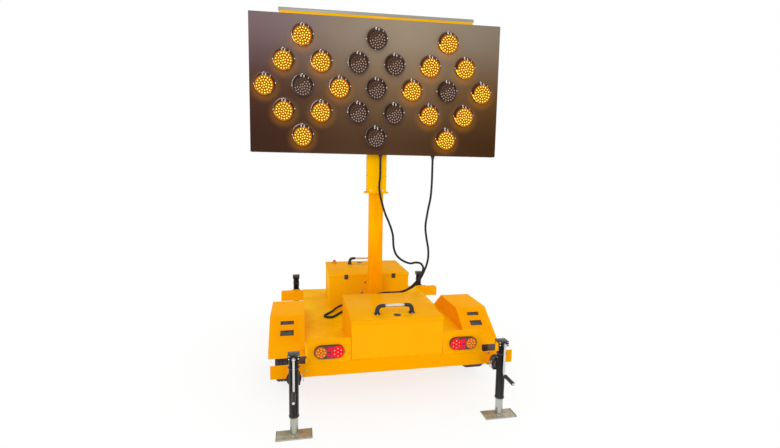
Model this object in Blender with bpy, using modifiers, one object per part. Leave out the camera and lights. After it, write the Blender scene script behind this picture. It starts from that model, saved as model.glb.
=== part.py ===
"""Arrow board trailer: a single-axle trailer on four swivel jacks, with a telescopic mast that
carries a flashing arrow board of 25 lamps and a solar panel.

Metres, +Z up, the ground is z = 0.  +Y points to the drawbar, -Y to the traffic that the board
faces, +X to the right as that traffic sees it.  The origin is on the ground, half way between the
coupler's nose and the rear cranks, under the middle of the board.  The trailer is drawn in a frame of
its own, TRAILER_X and TRAILER_Y from there, and the mast and all it carries in another at MAST_X.
"""

import math

import bmesh
import bpy
from mathutils import Matrix, Vector

# ---------------------------------------------------------------- driving dimensions
TRAILER_X = 0.013          # the trailer's own frame, from the origin
TRAILER_Y = -0.30
MAST_X = 0.010             # mast axis, from the trailer's middle
GAP = 0.0003               # clearance between pieces that touch

BOARD_WIDTH = 2.40
BOARD_HEIGHT = 1.27
BOARD_DEPTH = 0.095
BOARD_BOTTOM = 2.117
BOARD_FACE_Y = -0.191      # the board's lamp side, from the mast axis
BOARD_TURN = math.radians(-4.2)
BOARD_SHEET = 0.002
BOARD_CABLE_X = (0.556, 0.027)
BOARD_CABLE_Y = -0.141
CABLE_HOLE_R = 0.009
LAMP_SHIFT = -0.016         # middle lamp, from the board's middle
LAMP_PITCH_X = 0.174       # half of a row's lamp spacing
LAMP_PITCH_Z = 0.229
LAMP_ROWS = {2: (-4, 0, 4), 1: (-5, -3, -1, 1, 3, 5), 0: (-6, -4, -2, 0, 2, 4, 6),
             -1: (-5, -3, -1, 1, 3, 5), -2: (-4, 0, 4)}
LAMP_FLANGE_R = 0.105
LAMP_DOME_R = 0.086
LAMP_HEIGHT = 0.050

SOLAR_LENGTH = 1.92
SOLAR_WIDTH = 0.67
SOLAR_THICK = 0.030
SOLAR_EDGE_Y = -0.050      # the panel's near edge, from the mast axis
SOLAR_TOP = 3.488

MAST_SIDE = 0.138
MAST_WALL = 0.005
MAST_TOP = 2.20
MAST_FLANGE_R = 0.150
SLEEVE_SIDE = 0.190
SLEEVE_WALL = 0.004
BAR_WALL = 0.003
BOARD_ARM = 0.450          # half length of the two arms behind the board
BOARD_ARM_INSET = 0.280    # the arms, from the board's top and bottom edges
BOARD_ARM_HALF = 0.025
SLEEVE_BOTTOM = 1.730
MAST_TRAVEL = 1.05         # how far the sleeve comes down the mast

FRAME_TOP = 0.473
BEAM_HEIGHT = 0.105
BEAM_DEPTH = 0.100
BEAM_HALF = 0.986
BEAM_OPEN_X = 0.725        # past here the rear beam is only its rear web and bottom flange
REAR_FACE_Y = -1.194       # rear face of the rear beam
FRONT_FACE_Y = 0.981       # front face of the front beam
RAIL_X = 0.390
RAIL_WIDTH = 0.060
FRAME_WALL = 0.005
DRAWBAR_SIDE = 0.080
DRAWBAR_END_Y = 2.047
COUPLER_NOSE_Y = 2.1733

DECK_SHEET = 0.004
DECK_TOP = FRAME_TOP + GAP + DECK_SHEET
PANEL_TOP = 0.659

PANEL_HALF = 0.709         # outer edge of the tail-light panels

WHEEL_X = 0.890
WHEEL_Y = -0.500
TYRE_R = 0.268
WHEEL_LIFT = 0.037         # the jacks hold the tyres this far off the ground
TYRE_HALF = 0.088
RIM_R = 0.158
SPINDLE_R = 0.0195
WHEEL_Z = TYRE_R + WHEEL_LIFT

GUARD_INNER = 0.724
GUARD_OUTER = 1.026
GUARD_TOP = 0.645
GUARD_SHEET = 0.003
GUARD_SIDE = [(-0.820, 0.368), (-0.820, 0.435), (-0.530, GUARD_TOP), (-0.077, GUARD_TOP),
              (0.160, 0.478), (0.160, 0.368)]
GUARD_SLOTS = ((0.16, 0.280), (0.43, 0.60))     # shares of the rear slope, from its upper fold
SLOT_HALF = 0.0575
DECK_HALF = GUARD_INNER - GAP

NEAR_BOX = (-0.375, 0.375, -1.1917, -0.4445, 0.792)     # x0, x1, y0, y1, top
FAR_BOX = (-0.454, 0.428, 0.185, 0.888, 0.842)
BOX_SHEET = 0.003
LID_DEPTH = 0.030
HINGE_OUT = 0.006
HANDLE_R = 0.0145
HANDLE_FOOT_R = 0.021

JACK_X = 0.810
JACK_OFFSET = 0.158        # jack axis to the beam's face
JACK_PIVOT_Z = 0.420
JACK_TUBE_R = 0.035
JACK_BORE_R = 0.0305
JACK_TUBE_BOTTOM = 0.150
JACK_TOP = 0.629
LEG_R = 0.0295
FOOT_X = 0.265
FOOT_Y = 0.120
CRANK_Z = 0.607
CRANK_ARM = 0.240
CRANK_GRIP = 0.165
CRANK_ROD_R = 0.007
CRANK_GRIP_R = 0.016

CABLE_D = 0.022
GLAND_R = 0.016            # the cable's end butts on a gland's nose
GLAND_LENGTH = 0.020
CABLE_STEP = 0.055         # a tube point every two and a half diameters
CABLE_LIE = DECK_TOP + CABLE_D / 2 + 0.002     # centre line of a cable that lies on the deck
LEFT_GLAND_UP = 0.013      # the mast's glands, above a cable that lies on the deck
RIGHT_GLAND_UP = 0.030

YELLOW = (1.0, 0.36, 0.0)
BRONZE = (0.10, 0.06, 0.035)
BLACK = (0.02, 0.02, 0.02)
STEEL = (0.55, 0.54, 0.50)


# ---------------------------------------------------------------- scene, materials
def clear_scene():
    for old in list(bpy.data.objects):
        bpy.data.objects.remove(old, do_unlink=True)


def new_collection(name):
    made = bpy.data.collections.new(name)
    bpy.context.scene.collection.children.link(made)
    return made


def new_material(name, colour, roughness, metallic):
    made = bpy.data.materials.new(name)
    made.use_nodes = True
    shader = made.node_tree.nodes["Principled BSDF"]
    shader.inputs["Base Color"].default_value = (*colour, 1.0)
    shader.inputs["Roughness"].default_value = roughness
    shader.inputs["Metallic"].default_value = metallic
    made.diffuse_color = (*colour, 1.0)
    return made


clear_scene()
PARTS = new_collection("arrow_board_trailer")
CUTTERS = new_collection("cutters")


def place(name, mesh, at=(0, 0, 0), parent=None, look=(YELLOW, 0.35, 0.2), cutter=False):
    """Put a mesh in the scene as an object with a material of its own."""
    made = bpy.data.objects.new(name, mesh)
    (CUTTERS if cutter else PARTS).objects.link(made)
    made.location = at
    made.parent = parent
    if cutter:
        made.hide_render = True
        made.display_type = "WIRE"
    else:
        mesh.materials.append(new_material(name, *look))
    return made


def empty(name, at, parent=None, turn=0.0):
    made = bpy.data.objects.new(name, None)
    PARTS.objects.link(made)
    made.location = at
    made.rotation_euler = (0, 0, turn)
    made.parent = parent
    return made


# ---------------------------------------------------------------- shapes
def finish_mesh(name, shape):
    mesh = bpy.data.meshes.new(name)
    shape.to_mesh(mesh)
    shape.free()
    return mesh


def box_mesh(name, low, high, pivot):
    """A box between two corners, drawn from its pivot."""
    low, high, pivot = Vector(low), Vector(high), Vector(pivot)
    shape = bmesh.new()
    bmesh.ops.create_cube(shape, size=1.0)
    bmesh.ops.scale(shape, vec=high - low, verts=shape.verts)
    bmesh.ops.translate(shape, vec=(low + high) / 2 - pivot, verts=shape.verts)
    return finish_mesh(name, shape)


def rod_mesh(name, radius, start, end, pivot, sides=24, end_radius=None):
    """A round bar from start to end, drawn from its pivot."""
    start, end, pivot = Vector(start), Vector(end), Vector(pivot)
    along = end - start
    shape = bmesh.new()
    bmesh.ops.create_cone(shape, cap_ends=True, segments=sides, radius1=radius,
                          radius2=radius if end_radius is None else end_radius, depth=along.length)
    turn = along.to_track_quat("Z", "Y").to_matrix().to_4x4()
    bmesh.ops.transform(shape, matrix=Matrix.Translation((start + end) / 2 - pivot) @ turn,
                        verts=shape.verts)
    mesh = finish_mesh(name, shape)
    mesh.shade_smooth()
    mesh.set_sharp_from_angle(angle=math.radians(40))
    return mesh


def box(name, low, high, pivot=None, **kind):
    at = pivot if pivot is not None else [(a + b) / 2 for a, b in zip(low, high)]
    return place(name, box_mesh(name, low, high, at), at, **kind)


def rod(name, radius, start, end, pivot=None, sides=24, end_radius=None, **kind):
    at = pivot if pivot is not None else start
    return place(name, rod_mesh(name, radius, start, end, at, sides, end_radius), at, **kind)


def turned(name, profile, steps, closed, at=(0, 0, 0), tip=None, **kind):
    """A turned piece: a profile of (radius, height) spun about Z by a Screw modifier."""
    shape = bmesh.new()
    points = [shape.verts.new((r, 0, z)) for r, z in profile]
    for one, two in zip(points, points[1:] + points[:1] if closed else points[1:]):
        shape.edges.new((one, two))
    mesh = finish_mesh(name, shape)
    made = place(name, mesh, at, **kind)
    if tip:
        made.rotation_euler = tip
    screw = made.modifiers.new("turn", "SCREW")
    screw.axis = "Z"
    screw.steps = steps
    screw.render_steps = steps
    screw.use_merge_vertices = True
    screw.merge_threshold = 0.0001
    screw.use_smooth_shade = True
    return made


def outline_mesh(name, points, thickness, plane):
    """A flat outline with a thickness, as a mesh.  plane is the pair of axes it is drawn in."""
    curve = bpy.data.curves.new(name, "CURVE")
    curve.dimensions = "2D"
    curve.fill_mode = "BOTH"
    curve.extrude = thickness / 2
    line = curve.splines.new("POLY")
    line.points.add(len(points) - 1)
    for point, (a, b) in zip(line.points, points):
        point.co = (a, b, 0, 1)
    line.use_cyclic_u = True
    made = bpy.data.objects.new(name, curve)
    PARTS.objects.link(made)
    solid = bpy.data.meshes.new_from_object(made.evaluated_get(bpy.context.evaluated_depsgraph_get()))
    bpy.data.objects.remove(made)
    shape = bmesh.new()
    shape.from_mesh(solid)
    bmesh.ops.remove_doubles(shape, verts=shape.verts, dist=0.00001)
    turns = {"YZ": Matrix(((0, 0, 1), (1, 0, 0), (0, 1, 0))),
             "XZ": Matrix(((1, 0, 0), (0, 0, -1), (0, 1, 0))),
             "XY": Matrix.Identity(3)}
    bmesh.ops.transform(shape, matrix=turns[plane].to_4x4(), verts=shape.verts)
    bmesh.ops.recalc_face_normals(shape, faces=shape.faces)
    return finish_mesh(name, shape)


def tube_mesh(name, points, radius, resolution=2):
    """A round tube along points, as a closed mesh."""
    curve = bpy.data.curves.new(name, "CURVE")
    curve.dimensions = "3D"
    curve.bevel_depth = radius
    curve.bevel_resolution = resolution
    curve.use_fill_caps = True
    line = curve.splines.new("POLY")
    line.points.add(len(points) - 1)
    for point, at in zip(line.points, points):
        point.co = (*at, 1)
    made = bpy.data.objects.new(name, curve)
    PARTS.objects.link(made)
    solid = bpy.data.meshes.new_from_object(made.evaluated_get(bpy.context.evaluated_depsgraph_get()))
    bpy.data.objects.remove(made)
    shape = bmesh.new()
    shape.from_mesh(solid)
    bmesh.ops.remove_doubles(shape, verts=shape.verts, dist=0.00001)
    bmesh.ops.recalc_face_normals(shape, faces=shape.faces)
    return finish_mesh(name, shape)


def combine(base, others, operation="UNION"):
    """Weld the other shapes to a base, or cut them out of it."""
    for other in others:
        change = base.modifiers.new(other.name, "BOOLEAN")
        change.operation = operation
        change.solver = "EXACT"
        change.object = other
    return base


def smooth_line(route, step):
    """Points a step apart along a smooth curve through the route's own points."""
    route = [Vector(p) for p in route]
    ends = [2 * route[0] - route[1]] + route + [2 * route[-1] - route[-2]]
    fine = []
    for a, b, c, d in zip(ends, ends[1:], ends[2:], ends[3:]):
        for k in range(24):
            t = k / 24
            fine.append(0.5 * (2 * b + (c - a) * t + (2 * a - 5 * b + 4 * c - d) * t ** 2
                               + (3 * b - a - 3 * c + d) * t ** 3))
    fine.append(route[-1])
    lengths = [0.0]
    for a, b in zip(fine, fine[1:]):
        lengths.append(lengths[-1] + (b - a).length)
    count = round(lengths[-1] / step)
    points, at = [], 0
    for k in range(count + 1):
        want = lengths[-1] * k / count
        while at < len(fine) - 2 and lengths[at + 1] < want:
            at += 1
        share = (want - lengths[at]) / (lengths[at + 1] - lengths[at])
        points.append(fine[at].lerp(fine[at + 1], share))
    return points


# ---------------------------------------------------------------- chassis
def make_chassis():
    """Welded steel frame: two beams, two rails, cross members, drawbar, axle and jack stubs."""
    base = FRAME_TOP - BEAM_HEIGHT
    frame = box("chassis_frame", (-BEAM_HALF, REAR_FACE_Y, base),
                (BEAM_HALF, REAR_FACE_Y + BEAM_DEPTH, FRAME_TOP), parent=TRAILER)
    welded = [box("front_beam", (-BEAM_HALF, FRONT_FACE_Y - BEAM_DEPTH, base),
                  (BEAM_HALF, FRONT_FACE_Y, FRAME_TOP), parent=TRAILER, cutter=True)]
    rail_start = REAR_FACE_Y + BEAM_DEPTH / 2
    rail_end = FRONT_FACE_Y - BEAM_DEPTH / 2
    rail_base = base + 0.020
    for side in (-1, 1):
        inner, outer = sorted((side * (RAIL_X - RAIL_WIDTH / 2), side * (RAIL_X + RAIL_WIDTH / 2)))
        welded.append(box("rail", (inner, rail_start, rail_base), (outer, rail_end, FRAME_TOP - 0.001),
                          parent=TRAILER, cutter=True))
        welded.append(box("axle_hanger", (inner + 0.008, WHEEL_Y - 0.045, WHEEL_Z + 0.010),
                          (outer - 0.008, WHEEL_Y + 0.045, rail_base + 0.010),
                          parent=TRAILER, cutter=True))
        welded.append(rod("spindle", SPINDLE_R, (side * 0.76, WHEEL_Y, WHEEL_Z),
                          (side * (WHEEL_X + 0.038), WHEEL_Y, WHEEL_Z), parent=TRAILER, cutter=True))
        for face, away in ((REAR_FACE_Y, -1), (FRONT_FACE_Y, 1)):
            welded.append(rod("jack_stub", 0.040, (side * JACK_X, face - away * 0.020, JACK_PIVOT_Z),
                              (side * JACK_X, face + away * 0.044, JACK_PIVOT_Z),
                              parent=TRAILER, cutter=True))
    for at in (WHEEL_Y, 0.0):
        welded.append(box("cross_member", (-RAIL_X, at - 0.030, rail_base + 0.003),
                          (RAIL_X, at + 0.030, FRAME_TOP - 0.002), parent=TRAILER, cutter=True))
    welded.append(box("drawbar", (-DRAWBAR_SIDE / 2, WHEEL_Y, base + 0.008),
                      (DRAWBAR_SIDE / 2, DRAWBAR_END_Y, base + 0.008 + DRAWBAR_SIDE),
                      parent=TRAILER, cutter=True))
    welded.append(box("axle_tube", (-0.77, WHEEL_Y - 0.025, WHEEL_Z - 0.025),
                      (0.77, WHEEL_Y + 0.025, WHEEL_Z + 0.025), parent=TRAILER, cutter=True))
    combine(frame, welded)
    wall = FRAME_WALL
    bores = []
    for face in (REAR_FACE_Y, FRONT_FACE_Y - BEAM_DEPTH):
        bores.append(box("beam_bore", (-BEAM_HALF - 0.01, face + wall, base + wall),
                         (BEAM_HALF + 0.01, face + BEAM_DEPTH - wall, FRAME_TOP - wall),
                         parent=TRAILER, cutter=True))
    for side in (-1, 1):
        inner, outer = sorted((side * (RAIL_X - RAIL_WIDTH / 2 + wall),
                               side * (RAIL_X + RAIL_WIDTH / 2 - wall)))
        bores.append(box("rail_bore", (inner, rail_start, rail_base + wall),
                         (outer, rail_end, FRAME_TOP - 0.001 - wall), parent=TRAILER, cutter=True))
        inner, outer = sorted((side * BEAM_OPEN_X, side * (BEAM_HALF + 0.01)))
        bores.append(box("beam_end", (inner, REAR_FACE_Y + wall, base + wall),
                         (outer, REAR_FACE_Y + BEAM_DEPTH + 0.01, FRAME_TOP + 0.01),
                         parent=TRAILER, cutter=True))
    half = DRAWBAR_SIDE / 2 - wall
    bores.append(box("drawbar_bore", (-half, WHEEL_Y + 0.035, base + 0.008 + wall),
                     (half, DRAWBAR_END_Y + 0.01, base + 0.008 + DRAWBAR_SIDE - wall),
                     parent=TRAILER, cutter=True))
    return combine(frame, bores, "DIFFERENCE")


def make_coupler():
    """Cast coupler clamped on the drawbar's end, with a ball socket open underneath."""
    top = FRAME_TOP - BEAM_HEIGHT + 0.008 + DRAWBAR_SIDE
    base = top - DRAWBAR_SIDE
    centre = (0, COUPLER_NOSE_Y - 0.042, base)
    body = box("coupler", (-0.048, DRAWBAR_END_Y - 0.060, top + GAP), (0.048, centre[1], top + 0.018),
               parent=TRAILER, look=(BLACK, 0.5, 0.6))
    neck = box("coupler_neck", (-0.034, DRAWBAR_END_Y + GAP, base + 0.004), (0.034, centre[1], top + 0.010),
               parent=TRAILER, cutter=True)
    cup = rod("coupler_cup", 0.042, centre, (0, centre[1], top + 0.018), sides=28,
              parent=TRAILER, cutter=True)
    combine(body, [neck, cup])
    socket = rod("ball_socket", 0.026, (0, centre[1], base - 0.010), (0, centre[1], base + 0.045),
                 sides=20, end_radius=0.018, parent=TRAILER, cutter=True)
    combine(body, [socket], "DIFFERENCE")
    pivot = (0, DRAWBAR_END_Y + 0.050, top + 0.030)
    latch = box("coupler_latch", (-0.016, pivot[1] - 0.100, pivot[2] - 0.006),
                (0.016, pivot[1] + 0.010, pivot[2] + 0.006), pivot=pivot,
                parent=TRAILER, look=(STEEL, 0.4, 0.9))
    eye = rod("latch_eye", 0.010, (-0.014, pivot[1], pivot[2]), (0.014, pivot[1], pivot[2]),
              sides=16, parent=TRAILER, cutter=True)
    return body, combine(latch, [eye])


# ---------------------------------------------------------------- deck, mudguards, tail lights
def make_deck():
    """Folded deck sheet with the two tail-light panels standing up from its rear edge."""
    rear = REAR_FACE_Y + 0.002
    deck = box("deck", (-DECK_HALF, rear, FRAME_TOP + GAP), (DECK_HALF, FRONT_FACE_Y - 0.002, DECK_TOP),
               parent=TRAILER)
    inner = NEAR_BOX[1] + 0.001
    lip = 0.030
    outline = [(rear, DECK_TOP - 0.002), (rear + BOX_SHEET, DECK_TOP - 0.002),
               (rear + BOX_SHEET, PANEL_TOP - BOX_SHEET), (rear + lip, PANEL_TOP - BOX_SHEET),
               (rear + lip, PANEL_TOP), (rear, PANEL_TOP)]
    panels = []
    for side in (-1, 1):
        mesh = outline_mesh("light_panel", outline, PANEL_HALF - inner, "YZ")
        panels.append(place("light_panel", mesh, (side * (inner + PANEL_HALF) / 2, 0, 0),
                            parent=TRAILER, cutter=True))
    return combine(deck, panels)


def inset(points, gap):
    """A convex outline drawn in by a gap, kept open along its bottom edge."""
    moved = []
    for before, at, after in zip(points, points[1:], points[2:]):
        one = Vector((at[0] - before[0], at[1] - before[1])).normalized()
        two = Vector((after[0] - at[0], after[1] - at[1])).normalized()
        inward = Vector((one[1], -one[0])) + Vector((two[1], -two[0]))
        scale = gap / (1 + one.dot(two))
        moved.append((at[0] + inward[0] * scale, at[1] + inward[1] * scale))
    below = 0.02
    first = (points[0][0] + gap, points[0][1] - below)
    last = (points[-1][0] - gap, points[-1][1] - below)
    return [first] + moved + [last]


def make_mudguard(side, name):
    """Folded mudguard, open underneath, with two slots in its rear slope."""
    middle = side * (GUARD_INNER + GUARD_OUTER) / 2
    width = GUARD_OUTER - GUARD_INNER
    guard = place(name, outline_mesh(name, GUARD_SIDE, width, "YZ"), (middle, 0, 0), parent=TRAILER)
    hollow = place("guard_hollow", outline_mesh("guard_hollow", inset(GUARD_SIDE, GUARD_SHEET),
                                                width - 2 * GUARD_SHEET, "YZ"),
                   (middle, 0, 0), parent=TRAILER, cutter=True)
    cuts = [hollow]
    fold, foot = Vector((0, *GUARD_SIDE[2])), Vector((0, *GUARD_SIDE[1]))
    for start, end in GUARD_SLOTS:
        top, bottom = fold.lerp(foot, start), fold.lerp(foot, end)
        cuts.append(box("slot", (middle - SLOT_HALF, min(top.y, bottom.y), bottom.z),
                        (middle + SLOT_HALF, max(top.y, bottom.y), top.z), parent=TRAILER, cutter=True))
    return combine(guard, cuts, "DIFFERENCE")


def stadium(half_length, half_height, steps=8):
    """A bar with half-round ends, as (across, up) points."""
    points = []
    for side, start in ((1, -math.pi / 2), (-1, math.pi / 2)):
        for k in range(steps + 1):
            angle = start + math.pi * k / steps
            points.append((side * (half_length - half_height) + half_height * math.cos(angle),
                           half_height * math.sin(angle)))
    return points


def make_tail_light(side, name):
    at = (side * 0.544, REAR_FACE_Y + 0.002 - GAP - 0.012, 0.561)
    mesh = outline_mesh(name, stadium(0.117, 0.049), 0.024, "XZ")
    return place(name, mesh, at, parent=TRAILER, look=((0.8, 0.02, 0.02), 0.15, 0.0))


# ---------------------------------------------------------------- wheels
def make_wheel(side, name):
    """Steel disc wheel and its tyre, on the spindle's axis."""
    tip = (0, math.radians(90), 0) if side > 0 else (0, math.radians(-90), 0)
    at = (side * WHEEL_X, WHEEL_Y, WHEEL_Z)
    bore = SPINDLE_R + 0.0008
    rim = [(bore, -0.035), (0.045, -0.035), (0.045, 0.012), (0.150, 0.020), (0.150, -0.062),
           (0.176, -0.065), (0.176, -0.058), (RIM_R, -0.055), (RIM_R, 0.055), (0.176, 0.058),
           (0.176, 0.065), (0.150, 0.062), (0.150, 0.028), (0.055, 0.030), (0.045, 0.042),
           (bore, 0.042)]
    turned("rim_" + name, rim[::-1], 28, True, at, tip, parent=TRAILER, look=(STEEL, 0.4, 0.8))
    outer = [(0.159, 0.053), (0.178, 0.055), (0.200, 0.078), (0.228, TYRE_HALF), (0.253, 0.083),
             (0.265, 0.066), (TYRE_R, 0.035)]
    inner = [(0.257, 0.040), (0.246, 0.068), (0.228, 0.076), (0.201, 0.064), (0.182, 0.043),
             (0.159, 0.041)]
    tyre = outer + [(r, -z) for r, z in outer[::-1]] + [(r, -z) for r, z in inner[::-1]] + inner
    turned("tyre_" + name, tyre, 28, True, at, tip, parent=TRAILER, look=(BLACK, 0.8, 0.0))


# ---------------------------------------------------------------- equipment boxes
def make_handle(name, middle, y, top, width, height):
    """Bow handle standing on a lid."""
    half = width / 2
    route = [(middle - half, y, top - 0.002), (middle - half, y, top + 0.55 * height),
             (middle - half + 0.012, y, top + 0.85 * height), (middle - half + 0.045, y, top + height),
             (middle + half - 0.045, y, top + height), (middle + half - 0.012, y, top + 0.85 * height),
             (middle + half, y, top + 0.55 * height), (middle + half, y, top - 0.002)]
    bow = place(name, tube_mesh(name, route, HANDLE_R), parent=TRAILER, cutter=True)
    feet = [rod("handle_foot", HANDLE_FOOT_R, (x, y, top - 0.001), (x, y, top + 0.024), sides=20,
                end_radius=HANDLE_R, parent=TRAILER, cutter=True) for x in (middle - half, middle + half)]
    return [bow] + feet


def make_box(prefix, size, hinge_y, hinge_axis, handle):
    """A sheet steel box open at the top, and its lid, whose origin is on the hinge line."""
    x0, x1, y0, y1, top = size
    wall = BOX_SHEET + 0.001
    body = box(prefix + "_box", (x0 + wall, y0 + wall, DECK_TOP + GAP), (x1 - wall, y1 - wall, top - 0.006),
               parent=TRAILER)
    inside = box(prefix + "_room", (x0 + 2 * wall, y0 + 2 * wall, DECK_TOP + GAP + BOX_SHEET),
                 (x1 - 2 * wall, y1 - 2 * wall, top + 0.05), parent=TRAILER, cutter=True)
    combine(body, [inside], "DIFFERENCE")
    hinge = empty(hinge_axis, (0, hinge_y, top - LID_DEPTH), TRAILER)
    lid = box(prefix + "_lid", (x0, y0, top - LID_DEPTH), (x1, y1, top),
              pivot=(0, hinge_y, top - LID_DEPTH), parent=TRAILER)
    under = box(prefix + "_lid_room", (x0 + BOX_SHEET, y0 + BOX_SHEET, top - LID_DEPTH - 0.01),
                (x1 - BOX_SHEET, y1 - BOX_SHEET, top - BOX_SHEET), parent=TRAILER, cutter=True)
    combine(lid, [under], "DIFFERENCE")
    middle, y, width, height = handle
    combine(lid, make_handle(prefix + "_handle", middle, y, top, width, height))
    lid.parent = hinge
    lid.location = (0, 0, 0)
    return lid


def make_e_stop(lid_name):
    """Emergency stop: a collar on the far lid, and the mushroom button that slides in it."""
    x, y, top = -0.350, 0.815, FAR_BOX[4]
    collar = rod("stop_collar", 0.020, (x, y, top - 0.001), (x, y, top + 0.016), sides=20,
                 parent=TRAILER, cutter=True)
    bore = rod("stop_bore", 0.009, (x, y, top + 0.001), (x, y, top + 0.030), sides=16,
               parent=TRAILER, cutter=True)
    lid = bpy.data.objects[lid_name]
    combine(lid, [collar])
    combine(lid, [bore], "DIFFERENCE")
    profile = [(0.0, 0.034), (0.012, 0.033), (0.020, 0.028), (0.021, 0.022), (0.008, 0.022),
               (0.008, 0.007), (0.0, 0.007)]
    return turned("e_stop_button", profile, 20, False, (x, y, top), parent=TRAILER,
                  look=((0.8, 0.01, 0.01), 0.3, 0.0))


# ---------------------------------------------------------------- mast, board, solar panel
def make_mast():
    """Square mast on a round flange, with two cable glands and a guide head for the sleeve."""
    half = MAST_SIDE / 2
    base = DECK_TOP + GAP
    mast = rod("mast_lower", MAST_FLANGE_R, (0, 0, base), (0, 0, base + 0.010), pivot=(0, 0, 0), sides=32,
               parent=AIM)
    stem = box("mast_stem", (-half, -half, base + 0.001), (half, half, MAST_TOP), parent=AIM, cutter=True)
    head_half = SLEEVE_SIDE / 2 - SLEEVE_WALL - 0.0015
    head = box("mast_head", (-head_half, -head_half, MAST_TOP - 0.100), (head_half, head_half, MAST_TOP),
               parent=AIM, cutter=True)
    bore = half - MAST_WALL
    hollows = [box("mast_bore", (-bore, -bore, base + 0.010), (bore, bore, MAST_TOP + 0.01),
                   parent=AIM, cutter=True)]
    glands = []
    for side, height in ((-1, CABLE_LIE + LEFT_GLAND_UP), (1, CABLE_LIE + RIGHT_GLAND_UP)):
        nose = (side * (half + GLAND_LENGTH), 0, height)
        glands.append(rod("gland", GLAND_R, nose, (side * (half - 0.001), 0, height), sides=20,
                          parent=AIM, cutter=True))
        hollows.append(rod("gland_bore", CABLE_HOLE_R, (side * (half + GLAND_LENGTH + 0.01), 0, height),
                           (side * (bore - 0.01), 0, height), sides=16, parent=AIM, cutter=True))
    combine(mast, [stem, head] + glands)
    return combine(mast, hollows, "DIFFERENCE")


def make_sleeve():
    """Square sleeve that telescopes over the mast, with board arms and the solar panel's frame."""
    half = SLEEVE_SIDE / 2
    frame_top = SOLAR_TOP - SOLAR_THICK - GAP
    frame_base = frame_top - 0.040
    sleeve = box("mast_sleeve", (-half, -half, SLEEVE_BOTTOM), (half, half, frame_base + 0.005),
                 pivot=(0, 0, SLEEVE_BOTTOM), parent=HEAD)
    far = SOLAR_EDGE_Y + SOLAR_WIDTH
    reach = SOLAR_LENGTH / 2 - 0.010
    welded = [box("collar", (-0.122, -0.101, SLEEVE_BOTTOM), (0.122, 0.101, SLEEVE_BOTTOM + 0.010),
                  parent=HEAD, cutter=True)]
    for y0, y1 in ((SOLAR_EDGE_Y, SOLAR_EDGE_Y + 0.040), (far - 0.040, far)):
        welded.append(box("solar_bar", (-reach, y0, frame_base), (reach, y1, frame_top),
                          parent=HEAD, cutter=True))
    for x in (-0.50, 0.0, 0.50):
        welded.append(box("solar_strap", (x - 0.020, SOLAR_EDGE_Y + 0.002, frame_base + 0.001),
                          (x + 0.020, far - 0.002, frame_base + 0.009), parent=HEAD, cutter=True))
    bores = []
    wall = BAR_WALL
    tall = BOARD_ARM_HALF
    y0, y1 = BOARD_FACE_Y + BOARD_DEPTH + GAP, BOARD_FACE_Y + BOARD_DEPTH + 0.030
    for z in (BOARD_BOTTOM + BOARD_ARM_INSET, BOARD_BOTTOM + BOARD_HEIGHT - BOARD_ARM_INSET):
        welded.append(box("board_arm", (-BOARD_ARM, y0, z - tall), (BOARD_ARM, y1, z + tall),
                          parent=HEAD, cutter=True))
        for side in (-1, 1):
            inner, outer = sorted((side * half, side * (BOARD_ARM + 0.01)))
            bores.append(box("board_arm_bore", (inner, y0 + wall, z - tall + wall),
                             (outer, y1 - wall, z + tall - wall), parent=HEAD, cutter=True))
    combine(sleeve, welded)
    for y0 in (SOLAR_EDGE_Y, far - 0.040):
        bores.append(box("solar_bar_bore", (-reach - 0.01, y0 + wall, frame_base + wall),
                         (reach + 0.01, y0 + 0.040 - wall, frame_top - wall), parent=HEAD, cutter=True))
    combine(sleeve, bores, "DIFFERENCE")
    bore = half - SLEEVE_WALL
    hollow = box("sleeve_bore", (-bore, -bore, SLEEVE_BOTTOM + 0.010),
                 (bore, bore, MAST_TOP + MAST_TRAVEL + 0.05), parent=HEAD, cutter=True)
    mouth_half = MAST_SIDE / 2 + 0.0015
    mouth = box("sleeve_mouth", (-mouth_half, -mouth_half, SLEEVE_BOTTOM - 0.01),
                (mouth_half, mouth_half, SLEEVE_BOTTOM + 0.02), parent=HEAD, cutter=True)
    return combine(sleeve, [hollow, mouth], "DIFFERENCE")


def board_shift():
    """How far the board is hung off its mast to stay centred over the origin when turned."""
    middle = BOARD_FACE_Y + BOARD_DEPTH / 2
    return math.tan(BOARD_TURN) * middle - (TRAILER_X + MAST_X) / math.cos(BOARD_TURN)


def make_board():
    """Closed sheet metal cabinet, with two cable glands in its underside."""
    shift = board_shift()
    low = Vector((shift - BOARD_WIDTH / 2, BOARD_FACE_Y, BOARD_BOTTOM))
    high = Vector((shift + BOARD_WIDTH / 2, BOARD_FACE_Y + BOARD_DEPTH, BOARD_BOTTOM + BOARD_HEIGHT))
    board = box("board", low, high, parent=HEAD, look=(BRONZE, 0.35, 0.4))
    sheet = Vector((BOARD_SHEET, BOARD_SHEET, BOARD_SHEET))
    cuts = [box("board_room", low + sheet, high - sheet, parent=HEAD, cutter=True)]
    glands = []
    for x in BOARD_CABLE_X:
        nose = (x, BOARD_CABLE_Y, BOARD_BOTTOM - GLAND_LENGTH)
        inside = (x, BOARD_CABLE_Y, BOARD_BOTTOM + 0.001)
        glands.append(rod("gland", GLAND_R, nose, inside, sides=20, parent=HEAD, cutter=True))
        cuts.append(rod("cable_hole", CABLE_HOLE_R, (x, BOARD_CABLE_Y, nose[2] - 0.01),
                        (x, BOARD_CABLE_Y, BOARD_BOTTOM + 0.01), sides=16, parent=HEAD, cutter=True))
    combine(board, glands)
    return combine(board, cuts, "DIFFERENCE")


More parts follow.
